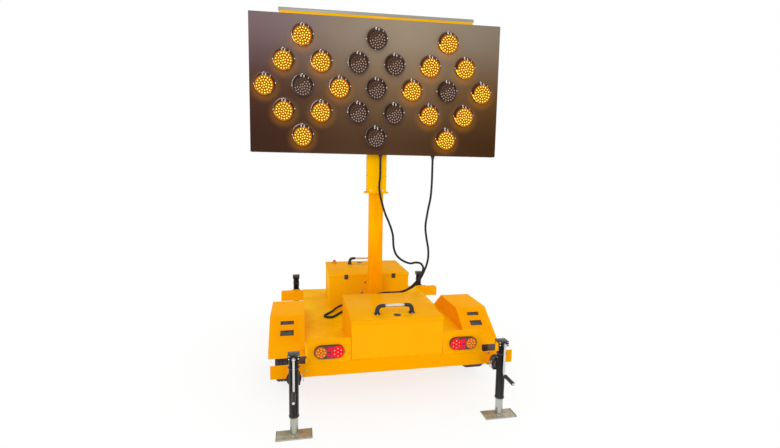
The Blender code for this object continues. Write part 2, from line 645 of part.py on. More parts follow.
def make_lamps():
    """Twenty-five round lamps, each a flange with a shallow dome."""
    profile = [(0.0, LAMP_HEIGHT), (0.045, LAMP_HEIGHT - 0.004), (0.072, LAMP_HEIGHT - 0.013),
               (LAMP_DOME_R, 0.022), (LAMP_DOME_R, 0.005), (LAMP_FLANGE_R, 0.004),
               (LAMP_FLANGE_R, 0.0), (0.0, 0.0)]
    middle = BOARD_BOTTOM + BOARD_HEIGHT / 2 - 0.005
    for row, columns in LAMP_ROWS.items():
        for number, column in enumerate(columns, 1):
            at = (board_shift() + LAMP_SHIFT + column * LAMP_PITCH_X, BOARD_FACE_Y - GAP,
                  middle + row * LAMP_PITCH_Z)
            turned(f"lamp_row{3 - row}_{number}", profile, 18, False, at, (math.radians(90), 0, 0),
                   parent=HEAD, look=((0.9, 0.35, 0.02), 0.1, 0.0))


def make_solar_panel():
    """Glass laminate in an aluminium frame, open underneath."""
    near = SOLAR_EDGE_Y
    panel = box("solar_panel", (-SOLAR_LENGTH / 2, near, SOLAR_TOP - SOLAR_THICK),
                (SOLAR_LENGTH / 2, near + SOLAR_WIDTH, SOLAR_TOP), parent=HEAD,
                look=((0.02, 0.03, 0.08), 0.2, 0.3))
    room = box("solar_room", (-SOLAR_LENGTH / 2 + 0.012, near + 0.012, SOLAR_TOP - SOLAR_THICK - 0.01),
               (SOLAR_LENGTH / 2 - 0.012, near + SOLAR_WIDTH - 0.012, SOLAR_TOP - 0.008),
               parent=HEAD, cutter=True)
    return combine(panel, [room], "DIFFERENCE")


# ---------------------------------------------------------------- cables
def make_cables():
    """Two black cables from the board's underside to the mast's foot; one lies in a loop on the deck."""
    radius = CABLE_D / 2
    lie = CABLE_LIE
    left_foot = lie + LEFT_GLAND_UP
    right_foot = lie + RIGHT_GLAND_UP
    top = BOARD_BOTTOM - GLAND_LENGTH - GAP
    wall = MAST_SIDE / 2 + GLAND_LENGTH + GAP
    right = [(0.556, -0.141, top), (0.556, -0.141, 2.000), (0.555, -0.139, 1.830),
             (0.546, -0.138, 1.694), (0.524, -0.136, 1.570), (0.503, -0.133, 1.405),
             (0.517, -0.131, 1.281), (0.540, -0.128, 1.155), (0.535, -0.125, 1.028),
             (0.478, -0.123, 0.875), (0.410, -0.121, 0.785), (0.348, -0.120, 0.744),
             (0.282, -0.119, 0.716), (0.228, -0.116, 0.692), (0.199, -0.098, 0.652),
             (0.196, -0.064, 0.608), (0.207, -0.037, 0.573), (0.209, -0.024, 0.554),
             (0.200, -0.012, 0.537), (0.183, -0.003, 0.5245), (0.160, 0.0, right_foot),
             (0.118, 0.0, right_foot), (wall, 0.0, right_foot)]
    left = [(0.027, -0.141, top), (0.027, -0.141, 2.000), (0.027, -0.139, 1.900),
            (0.020, -0.136, 1.808), (0.029, -0.127, 1.728), (0.052, -0.122, 1.637),
            (0.084, -0.118, 1.535), (0.136, -0.115, 1.415), (0.169, -0.113, 1.309),
            (0.180, -0.112, 1.185), (0.210, -0.112, 1.103), (0.270, -0.116, 1.047),
            (0.350, -0.128, 1.016), (0.408, -0.147, 1.028), (0.458, -0.158, 1.019),
            (0.485, -0.160, 0.975), (0.473, -0.155, 0.916), (0.436, -0.150, 0.850),
            (0.380, -0.147, 0.785),
            (0.325, -0.146, 0.745), (0.260, -0.146, 0.722), (0.170, -0.147, 0.716),
            (0.070, -0.147, 0.713), (-0.035, -0.138, 0.680), (-0.140, -0.100, 0.622),
            (-0.225, -0.020, 0.566), (-0.290, 0.045, 0.542), (-0.345, 0.068, 0.525),
            (-0.395, 0.045, 0.508), (-0.435, -0.012, lie + 0.006), (-0.475, -0.070, lie),
            (-0.510, -0.120, lie), (-0.520, -0.150, lie), (-0.5095, -0.181, lie),
            (-0.482, -0.200, lie), (-0.4485, -0.198, lie), (-0.423, -0.176, lie),
            (-0.385, -0.110, lie), (-0.340, -0.038, lie), (-0.285, 0.000, lie),
            (-0.220, 0.008, lie + 0.002), (-0.167, 0.0, left_foot),
            (-0.128, 0.0, left_foot), (-wall, 0.0, left_foot)]
    for name, route in (("cable_right", right), ("cable_left", left)):
        mesh = tube_mesh(name, smooth_line(route, CABLE_STEP), radius)
        mesh.shade_smooth()
        place(name, mesh, parent=AIM, look=(BLACK, 0.6, 0.0))


# ---------------------------------------------------------------- jacks
def make_jack(name, side, face_y, away):
    """Side-wind jack on a swivel stub: tube with gearbox, leg with foot, and crank.

    It is drawn around its swivel point, with -Y pointing away from the trailer.
    """
    turn = 0.0 if away < 0 else math.pi
    pivot = empty(name + "_swivel", (side * JACK_X, face_y + away * JACK_OFFSET, JACK_PIVOT_Z),
                  TRAILER, turn)
    low = JACK_TUBE_BOTTOM - JACK_PIVOT_Z
    high = JACK_TOP - JACK_PIVOT_Z
    crank_z = CRANK_Z - JACK_PIVOT_Z
    tube = rod(name + "_tube", JACK_TUBE_R, (0, 0, low), (0, 0, high - 0.020), pivot=(0, 0, 0),
               parent=pivot, look=(BLACK, 0.3, 0.3))
    gearbox = box("gearbox", (-0.041, -0.038, high - 0.040), (0.041, 0.038, high),
                  parent=pivot, cutter=True)
    boss = rod("boss", 0.046, (0, 0.010, 0), (0, JACK_OFFSET - 0.044 - GAP, 0), sides=28,
               parent=pivot, cutter=True)
    hub = rod("crank_bearing", 0.016, (0, -0.020, crank_z), (0, -0.046, crank_z), sides=16,
              parent=pivot, cutter=True)
    combine(tube, [gearbox, boss, hub])
    bore = rod("tube_bore", JACK_BORE_R, (0, 0, low - 0.010), (0, 0, high - 0.045),
               parent=pivot, cutter=True)
    combine(tube, [bore], "DIFFERENCE")

    ground = -JACK_PIVOT_Z
    leg = rod(name + "_leg", LEG_R, (0, 0, ground + 0.005), (0, 0, ground + 0.450), pivot=(0, 0, 0),
              parent=pivot, look=(STEEL, 0.35, 0.9))
    foot = box("foot", (-FOOT_X / 2, -FOOT_Y / 2, ground), (FOOT_X / 2, FOOT_Y / 2, ground + 0.010),
               parent=pivot, cutter=True)
    combine(leg, [foot])
    leg_bore = rod("leg_bore", LEG_R - 0.004, (0, 0, ground + 0.012), (0, 0, ground + 0.470), parent=pivot,
                   sides=20, cutter=True)
    combine(leg, [leg_bore], "DIFFERENCE")

    shaft_y = -0.046 - GAP
    arm_y = shaft_y - 0.010
    crank = rod(name + "_crank", 0.013, (0, shaft_y, crank_z), (0, arm_y - 0.009, crank_z), sides=16,
                pivot=(0, shaft_y, crank_z), parent=pivot, look=(STEEL, 0.3, 0.9))
    arm = rod("arm", CRANK_ROD_R, (0, arm_y, crank_z), (0, arm_y, crank_z - CRANK_ARM - CRANK_ROD_R),
              sides=12, parent=pivot, cutter=True)
    grip = rod("grip", CRANK_GRIP_R, (0, arm_y + 0.008, crank_z - CRANK_ARM),
               (0, arm_y - CRANK_GRIP, crank_z - CRANK_ARM), sides=16, parent=pivot, cutter=True)
    return combine(crank, [arm, grip])


# ---------------------------------------------------------------- assembly
TRAILER = empty("trailer", (TRAILER_X, TRAILER_Y, 0))
AIM = empty("mast_axis", (MAST_X, 0, 0), TRAILER, BOARD_TURN)
HEAD = empty("mast_slide", (0, 0, 0), AIM)

make_chassis()
make_coupler()
make_deck()
for which, label in ((-1, "left"), (1, "right")):
    make_mudguard(which, "mudguard_" + label)
    make_tail_light(which, "tail_light_" + label)
    make_wheel(which, label)
    make_jack("jack_rear_" + label, which, REAR_FACE_Y, -1)
    make_jack("jack_front_" + label, which, FRONT_FACE_Y, 1)
make_box("near", NEAR_BOX, NEAR_BOX[3] + HINGE_OUT, "near_lid_hinge", (-0.005, -1.060, 0.290, 0.070))
make_box("far", FAR_BOX, FAR_BOX[2] - HINGE_OUT, "far_lid_hinge", (-0.029, 0.715, 0.290, 0.070))
make_e_stop("far_lid")
make_mast()
make_sleeve()
make_board()
make_lamps()
make_solar_panel()
make_cables()
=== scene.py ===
"""Looks of the arrow board trailer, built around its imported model.

World axes are the model's: +Y to the drawbar, +Z up, ground at z = 0, metres.
"""

from math import atan2, cos, pi, radians, sin, tan

import bmesh
import bpy
from mathutils import Matrix, Vector


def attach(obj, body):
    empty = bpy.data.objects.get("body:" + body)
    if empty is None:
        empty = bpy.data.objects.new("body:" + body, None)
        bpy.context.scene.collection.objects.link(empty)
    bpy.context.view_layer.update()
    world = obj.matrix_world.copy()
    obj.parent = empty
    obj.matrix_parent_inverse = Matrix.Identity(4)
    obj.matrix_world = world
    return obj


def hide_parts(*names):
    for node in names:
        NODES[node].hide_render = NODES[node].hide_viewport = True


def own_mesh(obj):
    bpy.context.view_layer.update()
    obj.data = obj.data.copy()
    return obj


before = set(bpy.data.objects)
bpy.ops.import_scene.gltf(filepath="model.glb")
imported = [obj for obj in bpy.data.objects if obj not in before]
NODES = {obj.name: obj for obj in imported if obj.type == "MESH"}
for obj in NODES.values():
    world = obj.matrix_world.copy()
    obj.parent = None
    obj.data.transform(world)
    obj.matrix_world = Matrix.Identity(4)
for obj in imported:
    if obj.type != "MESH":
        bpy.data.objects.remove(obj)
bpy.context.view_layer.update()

# ---- places taken from the model
TRAILER_X, TRAILER_Y, MAST_X = 0.013, -0.3, 0.01
BOARD_TURN = radians(-4.2)
TRAILER = Matrix.Translation((TRAILER_X, TRAILER_Y, 0))
AIM = TRAILER @ Matrix.Translation((MAST_X, 0, 0)) @ Matrix.Rotation(BOARD_TURN, 4, "Z")
GAP = 0.0003

BOARD_WIDTH = 2.4
BOARD_HEIGHT = 1.27
BOARD_BOTTOM = 2.117
BOARD_FACE_Y = -0.191
BOARD_DEPTH = 0.095
BOARD_SHIFT = tan(BOARD_TURN) * (BOARD_FACE_Y + BOARD_DEPTH / 2) - (TRAILER_X + MAST_X) / cos(BOARD_TURN)
BOARD_CABLE_X, BOARD_CABLE_Y = (0.556, 0.027), -0.141
LAMP_SHIFT = -0.016
LAMP_PITCH_X = 0.174
LAMP_PITCH_Z = 0.229
LAMP_ROWS = {2: (-4, 0, 4), 1: (-5, -3, -1, 1, 3, 5), 0: (-6, -4, -2, 0, 2, 4, 6), -1: (-5, -3, -1, 1, 3, 5),
    -2: (-4, 0, 4)}
LAMP_R = 0.085
GLOW_REACH, GLOW_SHARE, GLOW_DROP, GLOW_DEPTH = 0.165, 0.22, 0.03, 0.045
# Painted reflection on the board's face: colour rows for its foot, middle and top, paler towards the top.
BOARD_REFLECTION_BANDS = (
    ((0.0, (0.048, 0.019, 0.011)), (1.0, (0.05, 0.021, 0.005)), (0.5, (0.082, 0.04, 0.019))),
    ((0.0, (0.078, 0.033, 0.02)), (1.0, (0.125, 0.06, 0.02)), (0.6, (0.215, 0.13, 0.068))),
    ((0.0, (0.18, 0.124, 0.132)), (1.0, (0.225, 0.182, 0.134)), (0.58, (0.315, 0.252, 0.18))))
UNLIT = {(0, -4), (0, 0), (0, 4), (2, 0), (-2, 0), (1, -1), (1, 1), (-1, -1), (-1, 1)}

SOLAR_LENGTH, SOLAR_WIDTH, SOLAR_EDGE_Y, SOLAR_TOP, SOLAR_THICK = 1.92, 0.67, -0.05, 3.488, 0.03
DECK_TOP = 0.4773
REAR_FACE_Y, FRONT_FACE_Y = -1.194, 0.981
WHEEL_X, WHEEL_Y, WHEEL_Z = 0.89, -0.5, 0.305
TYRE_R = 0.268
GUARD_X = 0.875
GUARD_FOLD, GUARD_FOOT = (-0.53, 0.645), (-0.82, 0.435)
GUARD_SLOTS = ((0.16, 0.28), (0.43, 0.6))
SLOT_HALF = 0.0575
NEAR_BOX = (-0.375, 0.375, -1.1917, -0.4445, 0.792)
FAR_BOX = (-0.454, 0.428, 0.185, 0.888, 0.842)
LID_DEPTH = 0.03
STOP_AT = (-0.35, 0.815)
JACK_X, JACK_OFFSET, JACK_PIVOT_Z = 0.81, 0.158, 0.42
JACK_TOP, CRANK_Z, CRANK_ARM, CRANK_GRIP = 0.629, 0.607, 0.24, 0.165
JACK_TUBE_BOTTOM = 0.15
FOOT_X, FOOT_Y = 0.265, 0.12
SLEEVE_BOTTOM, SLEEVE_HALF, MAST_HALF = 1.73, 0.095, 0.069
GLAND_LENGTH = 0.02
CABLE_D = 0.022
GUARD_IN = 0.7265
TAIL_X, TAIL_Z = 0.544, 0.561
CELL_PITCH, CELL_GAP = 0.158, 0.0022

UP, REARWARD = (0, 0, 1), (0, -1, 0)
SIDES = ((-1, "left"), (1, "right"))


# ---- camera, light, floor
def link(made):
    bpy.context.scene.collection.objects.link(made)


def set_camera():
    data = bpy.data.cameras.new("camera")
    data.sensor_fit = "HORIZONTAL"
    data.sensor_width = 36.0
    data.lens = 20.047
    stand = (-0.7479, -4.7308, 1.9186)
    yaw, pitch, roll = -0.206, 0.1122, 0.0178
    ahead = Vector((-sin(yaw) * cos(pitch), cos(yaw) * cos(pitch), -sin(pitch)))
    right = Vector((cos(yaw), sin(yaw), 0))
    up = right.cross(ahead)
    side = cos(roll) * right + sin(roll) * up
    top = -sin(roll) * right + cos(roll) * up
    turn = Matrix((side, top, -ahead)).transposed().to_4x4()
    camera = bpy.data.objects.new("camera", data)
    camera.matrix_world = Matrix.Translation(stand) @ turn
    link(camera)
    bpy.context.scene.camera = camera


def area_light(name, at, target, size, power):
    data = bpy.data.lights.new(name, "AREA")
    data.shape = "RECTANGLE"
    data.size, data.size_y = size
    data.energy = power
    light = bpy.data.objects.new(name, data)
    turn = (Vector(target) - Vector(at)).to_track_quat("-Z", "Y").to_matrix().to_4x4()
    light.matrix_world = Matrix.Translation(at) @ turn
    link(light)


def feed(tree, node, inputs):
    """Set a node's inputs, by name or number, to values or to other nodes' outputs."""
    for name, value in inputs.items():
        if isinstance(value, bpy.types.NodeSocket):
            tree.links.new(value, node.inputs[name])
        else:
            node.inputs[name].default_value = value


def add(tree, kind, inputs=None, **settings):
    """A new shader node with its settings and its inputs."""
    node = tree.nodes.new("ShaderNode" + kind)
    for name, value in settings.items():
        setattr(node, name, value)
    feed(tree, node, inputs or {})
    return node


def ranged(tree, value, low, high, to_low=0.0, to_high=1.0, smooth=False):
    """A value carried from one range to another and held at its ends."""
    inputs = {"Value": value, "From Min": low, "From Max": high, "To Min": to_low, "To Max": to_high}
    way = "SMOOTHSTEP" if smooth else "LINEAR"
    return add(tree, "MapRange", inputs, interpolation_type=way).outputs["Result"]


def mixed(tree, share, one, two, way="MIX"):
    """Two colours blended by a share."""
    return add(tree, "Mix", {"Factor": share, "A": one, "B": two}, data_type="RGBA",
        blend_type=way).outputs["Result"]


def math_of(tree, operation, one, two):
    return add(tree, "Math", {0: one, 1: two}, operation=operation).outputs["Value"]


def shader_of(material):
    """A material's node tree and its main shader."""
    material.use_nodes = True
    return material.node_tree, material.node_tree.nodes["Principled BSDF"]


def set_stage():
    """Even white studio: the backdrop is white, and what it lights the trailer with is softer."""
    scene = bpy.context.scene
    scene.view_settings.view_transform = "Standard"
    scene.view_settings.look = "None"
    world = bpy.data.worlds.new("studio")
    world.use_nodes = True
    tree = world.node_tree
    backdrop = tree.nodes["Background"]
    feed(tree, backdrop, {"Color": (1, 1, 1, 1), "Strength": 1.0})
    dome = add(tree, "Background", {"Color": (1.0, 0.985, 0.96, 1), "Strength": 0.9})
    seen = add(tree, "LightPath").outputs["Is Camera Ray"]
    choose = add(tree, "MixShader", {0: seen, 1: dome.outputs["Background"],
        2: backdrop.outputs["Background"]})
    feed(tree, tree.nodes["World Output"], {"Surface": choose.outputs["Shader"]})
    scene.world = world
    area_light("key", (-2.6, -6.2, 4.4), (0, -0.6, 1.0), (1.5, 1.8), 70)
    area_light("fill", (4.5, -5.0, 2.2), (0, -0.4, 1.0), (2.5, 2.5), 40)
    area_light("rim", (1.5, 4.5, 7.0), (0, 0, 1.5), (3.0, 2.0), 70)

    shape = bmesh.new()
    bmesh.ops.create_grid(shape, x_segments=1, y_segments=1, size=60)
    mesh = bpy.data.meshes.new("floor")
    shape.to_mesh(mesh)
    shape.free()
    floor = bpy.data.objects.new("floor", mesh)
    floor.location = (0, 0, -0.0005)
    mesh.materials.append(floor_look())
    link(floor)


def floor_look():
    """Pale matt floor that fades into the white backdrop a few metres out."""
    made = bpy.data.materials.new("floor")
    tree, shader = shader_of(made)
    feed(tree, shader, {"Base Color": (0.95, 0.95, 0.95, 1), "Roughness": 0.9, "Specular IOR Level": 0.1})
    white = add(tree, "Emission", {"Strength": 1.0})
    place = add(tree, "TexCoord").outputs["Object"]
    reach = add(tree, "VectorMath", {0: place}, operation="LENGTH").outputs["Value"]
    fade = ranged(tree, reach, 0.6, 2.6, to_low=0.74, smooth=True)
    blend = add(tree, "MixShader", {0: fade, 1: shader.outputs["BSDF"], 2: white.outputs["Emission"]})
    feed(tree, tree.nodes["Material Output"], {"Surface": blend.outputs["Shader"]})
    return made


# ---- materials
def finish(name, colour, other, rough=0.4, spread=0.05, metal=0.0, scale=4.0, mix=0.5, grain=300.0,
        bump=0.05, coat=0.0, stretch=(1, 1, 1), worn=None, wear=0.0, glow=None, power=0.0, grime=0.0,
        sheen=0.5):
    """A surface with cloudy colour, uneven roughness, fine grain, and wear along its edges."""
    made = bpy.data.materials.new(name)
    tree, shader = shader_of(made)
    place = add(tree, "TexCoord").outputs["Object"]
    laid = add(tree, "Mapping", {"Scale": stretch, "Vector": place}).outputs["Vector"]
    cloud = add(tree, "TexNoise", {"Vector": laid, "Scale": scale, "Detail": 6.0, "Roughness": 0.6})
    cloud = cloud.outputs["Fac"]
    last = mixed(tree, ranged(tree, cloud, 0.3, 0.7, to_high=mix), (*colour, 1), (*other, 1))
    if grime:
        dust = add(tree, "TexNoise", {"Vector": laid, "Scale": 38.0, "Detail": 8.0}).outputs["Fac"]
        last = mixed(tree, ranged(tree, dust, 0.58, 0.75, to_high=grime), last, (0.16, 0.09, 0.03, 1))
    if wear:
        edge = add(tree, "NewGeometry").outputs["Pointiness"]
        last = mixed(tree, ranged(tree, edge, 0.53, 0.6, to_high=wear), last, (*(worn or other), 1))
    shine = ranged(tree, cloud, 0.3, 0.7, max(rough - spread, 0.02), rough + spread)
    fine = add(tree, "TexNoise", {"Vector": laid, "Scale": grain, "Detail": 3.0}).outputs["Fac"]
    relief = add(tree, "Bump", {"Strength": bump, "Distance": 0.002, "Height": fine}).outputs["Normal"]
    feed(tree, shader, {"Base Color": last, "Roughness": shine, "Normal": relief, "Metallic": metal,
        "Specular IOR Level": sheen, "Coat Weight": coat, "Coat Roughness": 0.08})
    if glow:
        feed(tree, shader, {"Emission Color": (*glow, 1), "Emission Strength": power})
    return made


def sideways(tree, across, stops):
    """A colour that runs from side to side through its stops."""
    ramp = tree.nodes.new("ShaderNodeValToRGB")
    ramp.color_ramp.interpolation = "EASE"
    for k, (at, colour) in enumerate(stops):
        stop = ramp.color_ramp.elements[k] if k < 2 else ramp.color_ramp.elements.new(at)
        stop.position = at
        stop.color = (*colour, 1)
    tree.links.new(across, ramp.inputs["Fac"])
    return ramp.outputs["Color"]


def lamp_places():
    """Every lamp's row, column and centre on the board's face, in the mast's axes."""
    middle = BOARD_BOTTOM + BOARD_HEIGHT / 2 - 0.005
    for row, columns in LAMP_ROWS.items():
        for number, column in enumerate(columns, 1):
            x = BOARD_SHIFT + LAMP_SHIFT + column * LAMP_PITCH_X
            yield row, number, column, (x, BOARD_FACE_Y - GAP, middle + row * LAMP_PITCH_Z)


def lit_spots():
    """Where each lit lamp's warm light is strongest: a little below the lamp's middle."""
    return [AIM @ (Vector(at) - Vector((0, 0, GLOW_DROP))) for row, _, column, at in lamp_places()
        if (row, column) not in UNLIT]


def shade_board(made, low, high, half):
    """Bronze sheet with painted reflection, paler at its top and umber along its foot, and painted warm
    light round the lit lamps.
    """
    tree, shader = shader_of(made)
    cloud = shader.inputs["Base Color"].links[0].from_socket
    place = add(tree, "TexCoord").outputs["Object"]
    split = add(tree, "SeparateXYZ", {"Vector": place}).outputs
    across = ranged(tree, split["X"], -half, half)
    middle = (low + high) / 2
    # Painted reflection: the rows blend from the umber foot up to the paler top.
    foot, centre, crown = (sideways(tree, across, stops) for stops in BOARD_REFLECTION_BANDS)
    last = mixed(tree, ranged(tree, split["Z"], low + 0.06, middle + 0.15, smooth=True), foot, centre)
    last = mixed(tree, ranged(tree, split["Z"], middle - 0.1, high - 0.02, smooth=True), last, crown)
    last = mixed(tree, 1.0, last, cloud, "MULTIPLY")

    # Painted light: the warm glow of each lit lamp is painted onto the board's face.
    warmth = None
    for at in lit_spots():
        reach = add(tree, "VectorMath", {0: place, 1: at}, operation="DISTANCE").outputs["Value"]
        fall = ranged(tree, reach, GLOW_REACH, LAMP_R, smooth=True)
        warmth = fall if warmth is None else math_of(tree, "MAXIMUM", warmth, fall)
    weaker = math_of(tree, "MULTIPLY", warmth, GLOW_SHARE)
    # The light lies on the front of the cabinet only, and is gone partway along its sides.
    inward = AIM.to_3x3() @ Vector((0, 1, 0))
    face = inward.dot(AIM @ Vector((0, BOARD_FACE_Y, 0)))
    depth = add(tree, "VectorMath", {0: place, 1: inward}, operation="DOT_PRODUCT").outputs["Value"]
    spill = math_of(tree, "MULTIPLY", weaker, ranged(tree, depth, face + GLOW_DEPTH, face + 0.01))
    feed(tree, shader, {"Base Color": mixed(tree, spill, last, (0.6, 0.24, 0.015, 1))})


set_camera()
set_stage()

PAINTED = {"sheen": 0.0, "metal": 0.12}
SHEET = {"rough": 0.34, "spread": 0.1, "scale": 2.2, "mix": 0.8, "grain": 130, "bump": 0.045, "wear": 0.3,
    "grime": 0.08, **PAINTED}
TUBE = {"rough": 0.33, "spread": 0.08, "scale": 3.5, "mix": 0.9, "grain": 130, "bump": 0.04,
    "stretch": (1.6, 1.6, 0.5), "grime": 0.05, **PAINTED}
SMOKE = {"rough": 0.12, "spread": 0.04, "scale": 26, "mix": 1.0, "grain": 90, "bump": 0.02, "coat": 0.08,
    "sheen": 0.15}
DOT = {"grain": 900, "bump": 0.02}

YELLOW = finish("yellow_paint", (0.96, 0.38, 0.0), (0.93, 0.338, 0.0), worn=(1.0, 0.52, 0.01), **SHEET)
# Painted light: the far box takes a brighter, yellower copy of the yellow paint, to make up for the shade it
# sits in.
BRIGHTENED_BOX_PAINT = finish("far_box_paint_brightened", (0.99, 0.54, 0.0), (0.97, 0.5, 0.0), worn=(1.0, 0.55, 0.01), **SHEET)
DECK_PAINT = finish("deck_paint", (1.0, 0.57, 0.0), (0.84, 0.4, 0.0), rough=0.3, spread=0.12, scale=3.0,
    mix=1.0, grain=90, bump=0.09, grime=0.25, **PAINTED)
LID_PAINT = finish("lid_paint", (0.91, 0.4, 0.0), (0.85, 0.355, 0.0), rough=0.3, spread=0.1, scale=2.6,
    mix=0.9, grain=110, bump=0.05, worn=(1.0, 0.52, 0.01), wear=0.3, grime=0.12, **PAINTED)
SLEEVE_PAINT = finish("sleeve_paint", (1.0, 0.52, 0.0), (0.98, 0.48, 0.0), **TUBE)
MAST_PAINT = finish("mast_paint", (0.99, 0.49, 0.0), (0.98, 0.3, 0.0), **TUBE)
BOARD_PAINT = finish("board_paint", (1.0, 1.0, 1.0), (0.86, 0.85, 0.84), rough=0.42,
    scale=1.4, mix=0.8, grain=420, bump=0.03, sheen=0.04)
BLACK_PAINT = finish("black_paint", (0.004, 0.004, 0.005), (0.01, 0.009, 0.009), rough=0.14, spread=0.06,
    scale=9, grain=160, bump=0.03, worn=(0.2, 0.17, 0.15), wear=0.4, grime=0.05, sheen=0.16)
ZINC = finish("zinc_plate", (0.5, 0.51, 0.48), (0.4, 0.41, 0.33), rough=0.3, spread=0.12, metal=0.92,
    scale=14, mix=0.9, grain=200, bump=0.06, stretch=(1, 1, 0.4), grime=0.25)
WORN_ZINC = finish("worn_zinc", (0.5, 0.49, 0.38), (0.27, 0.25, 0.17), rough=0.34, spread=0.16,
    metal=0.35, scale=26, mix=1.0, grain=120, bump=0.12, grime=0.5)
CHROME = finish("bright_screw", (0.86, 0.86, 0.86), (0.7, 0.7, 0.7), rough=0.16, spread=0.06, metal=1.0,
    scale=60, grain=900, bump=0.02)
RUBBER = finish("tyre_rubber", (0.018, 0.018, 0.018), (0.045, 0.042, 0.038), rough=0.78, spread=0.1,
    scale=9, mix=0.7, grain=240, bump=0.25, grime=0.3)
CABLE_SKIN = finish("cable_jacket", (0.008, 0.008, 0.008), (0.018, 0.018, 0.018), rough=0.42, spread=0.1,
    scale=30, grain=520, bump=0.1, sheen=0.25)
PLASTIC = finish("dark_plastic", (0.032, 0.035, 0.044), (0.05, 0.053, 0.065), rough=0.46, spread=0.06,
    scale=20, grain=700, bump=0.12, sheen=0.18)
GRIP_SILVER = finish("silver_grip", (0.74, 0.73, 0.72), (0.55, 0.54, 0.54), rough=0.3, spread=0.08,
    metal=0.7, scale=18, grain=500, bump=0.03, stretch=(0.3, 1, 1))
ALUMINIUM = finish("aluminium", (0.34, 0.34, 0.305), (0.28, 0.28, 0.25), rough=0.42, spread=0.08,
    metal=0.35, scale=10, grain=400, bump=0.05, stretch=(0.1, 1, 1))
# Grey of the sheets in the gap between the rear beam and the mudguards.
GAP_GREY = finish("gap_grey", (0.125, 0.125, 0.12), (0.075, 0.075, 0.07), rough=0.45, spread=0.12,
    scale=12, grain=180, bump=0.1, grime=0.2, sheen=0.2)
# Painted shade seen through the mudguard's slots.
SLOT_SHADE = finish("slot_painted_shade", (0.095, 0.095, 0.085), (0.035, 0.035, 0.032), rough=0.5, spread=0.1,
    scale=30, mix=1.0, bump=0.15, grime=0.3, sheen=0.3)
WHEEL_PAINT = finish("wheel_steel", (0.5, 0.5, 0.5), (0.36, 0.36, 0.35), rough=0.36, spread=0.1,
    metal=0.5, scale=10, grain=200, bump=0.05, grime=0.5)
RED_LENS = finish("red_lens", (0.72, 0.004, 0.008), (0.55, 0.0, 0.004), rough=0.12, spread=0.04, scale=30,
    grain=260, bump=0.1, coat=0.1, glow=(1.0, 0.0, 0.01), power=0.45, sheen=0.12)
PINK_LENS = finish("magenta_lens", (0.62, 0.004, 0.045), (0.32, 0.0, 0.03), rough=0.16,
    scale=40, grain=220, bump=0.2, coat=0.1, glow=(0.8, 0.0, 0.04), power=0.25, sheen=0.15)
AMBER_LENS = finish("amber_lens", (0.6, 0.14, 0.0), (0.4, 0.07, 0.0), rough=0.14, scale=60,
    mix=1.0, grain=220, bump=0.25, coat=0.1, glow=(1.0, 0.26, 0.0), power=0.1, sheen=0.12)
LENS_BASE = finish("lens_base", (0.045, 0.006, 0.01), (0.09, 0.01, 0.016), rough=0.2, spread=0.06,
    scale=30, bump=0.1, coat=0.5)
LENS_LED = finish("lens_led", (1.0, 0.42, 0.3), (1.0, 0.3, 0.2), rough=0.2, scale=80,
    glow=(1.0, 0.42, 0.25), power=0.5, **DOT)
AMBER_DOT = finish("amber_led", (1.0, 0.52, 0.03), (1.0, 0.42, 0.0), rough=0.25, scale=80,
    glow=(1.0, 0.5, 0.02), power=0.4, **DOT)
RED_CAP = finish("stop_red", (0.72, 0.012, 0.006), (0.62, 0.006, 0.004), rough=0.25, spread=0.06, scale=40,
    grain=500, bump=0.03, coat=0.3)
SMOKED = finish("smoked_lamp", (0.05, 0.016, 0.007), (0.025, 0.008, 0.004), **SMOKE)
# Painted light: the lit lamps' bowls take a brighter copy of the smoked colour, for the light of their LEDs.
SMOKED_LIT = finish("smoked_lamp_lit", (0.14, 0.032, 0.002), (0.05, 0.011, 0.001), **SMOKE)
FLANGE = finish("lamp_flange", (0.08, 0.045, 0.028), (0.055, 0.03, 0.018), rough=0.22,
    scale=20, bump=0.03, coat=0.5)
FACE_LIT = finish("lamp_face_lit", (0.07, 0.01, 0.0), (0.04, 0.006, 0.0), rough=0.4,
    scale=90, mix=1.0, grain=400, bump=0.05, glow=(1.0, 0.27, 0.0), power=0.42, sheen=0.0)
RIM_LIT = finish("lamp_rim_lit", (0.5, 0.16, 0.0), (0.3, 0.07, 0.0), rough=0.25, scale=36,
    mix=1.0, grain=120, bump=0.1, glow=(1.0, 0.36, 0.0), power=0.6, sheen=0.1)
# Painted reflection of the LEDs' light on the bowl of a lit lamp.
PAINTED_LED_REFLECTION = finish("lamp_painted_led_reflection", (0.8, 0.5, 0.02), (0.7, 0.35, 0.0), rough=0.25, scale=60,
    mix=1.0, grain=200, bump=0.1, glow=(1.0, 0.58, 0.03), power=1.5, sheen=0.1)
LED_LIT = finish("led_lit", (0.98, 0.78, 0.12), (0.95, 0.72, 0.09), rough=0.4, scale=200,
    glow=(1.0, 0.82, 0.12), power=1.0, sheen=0.0, **DOT)
FACE_OFF = finish("lamp_face_off", (0.07, 0.03, 0.014), (0.045, 0.02, 0.009), rough=0.4, spread=0.06,
    scale=70, mix=1.0, grain=400, bump=0.05, sheen=0.1)
LED_OFF = finish("led_off", (0.42, 0.33, 0.3), (0.3, 0.23, 0.205), rough=0.3, scale=120, sheen=0.3, **DOT)
# Painted shade on the LEDs near the top of an unlit lamp's bowl.
PAINTED_SHADE_LED = finish("led_painted_shade", (0.13, 0.08, 0.062), (0.09, 0.05, 0.036), rough=0.3, scale=120,
    sheen=0.2, **DOT)
# Painted highlights on the lamp bowls.
PAINTED_HIGHLIGHT = finish("lamp_painted_highlight", (0.72, 0.66, 0.66), (0.55, 0.46, 0.46), rough=0.12, spread=0.04,
    scale=120, grain=900, bump=0.02, coat=0.8)


# ---- building pieces
TINY = 0.00005


def angles(count, shift=0.0):
    """Evenly spaced angles round a full turn."""
    return [2 * pi * (k + shift) / count for k in range(count)]


def heading(points, k):
    """The direction of a line of points at one of them."""
    return (points[min(k + 1, len(points) - 1)] - points[max(k - 1, 0)]).normalized()


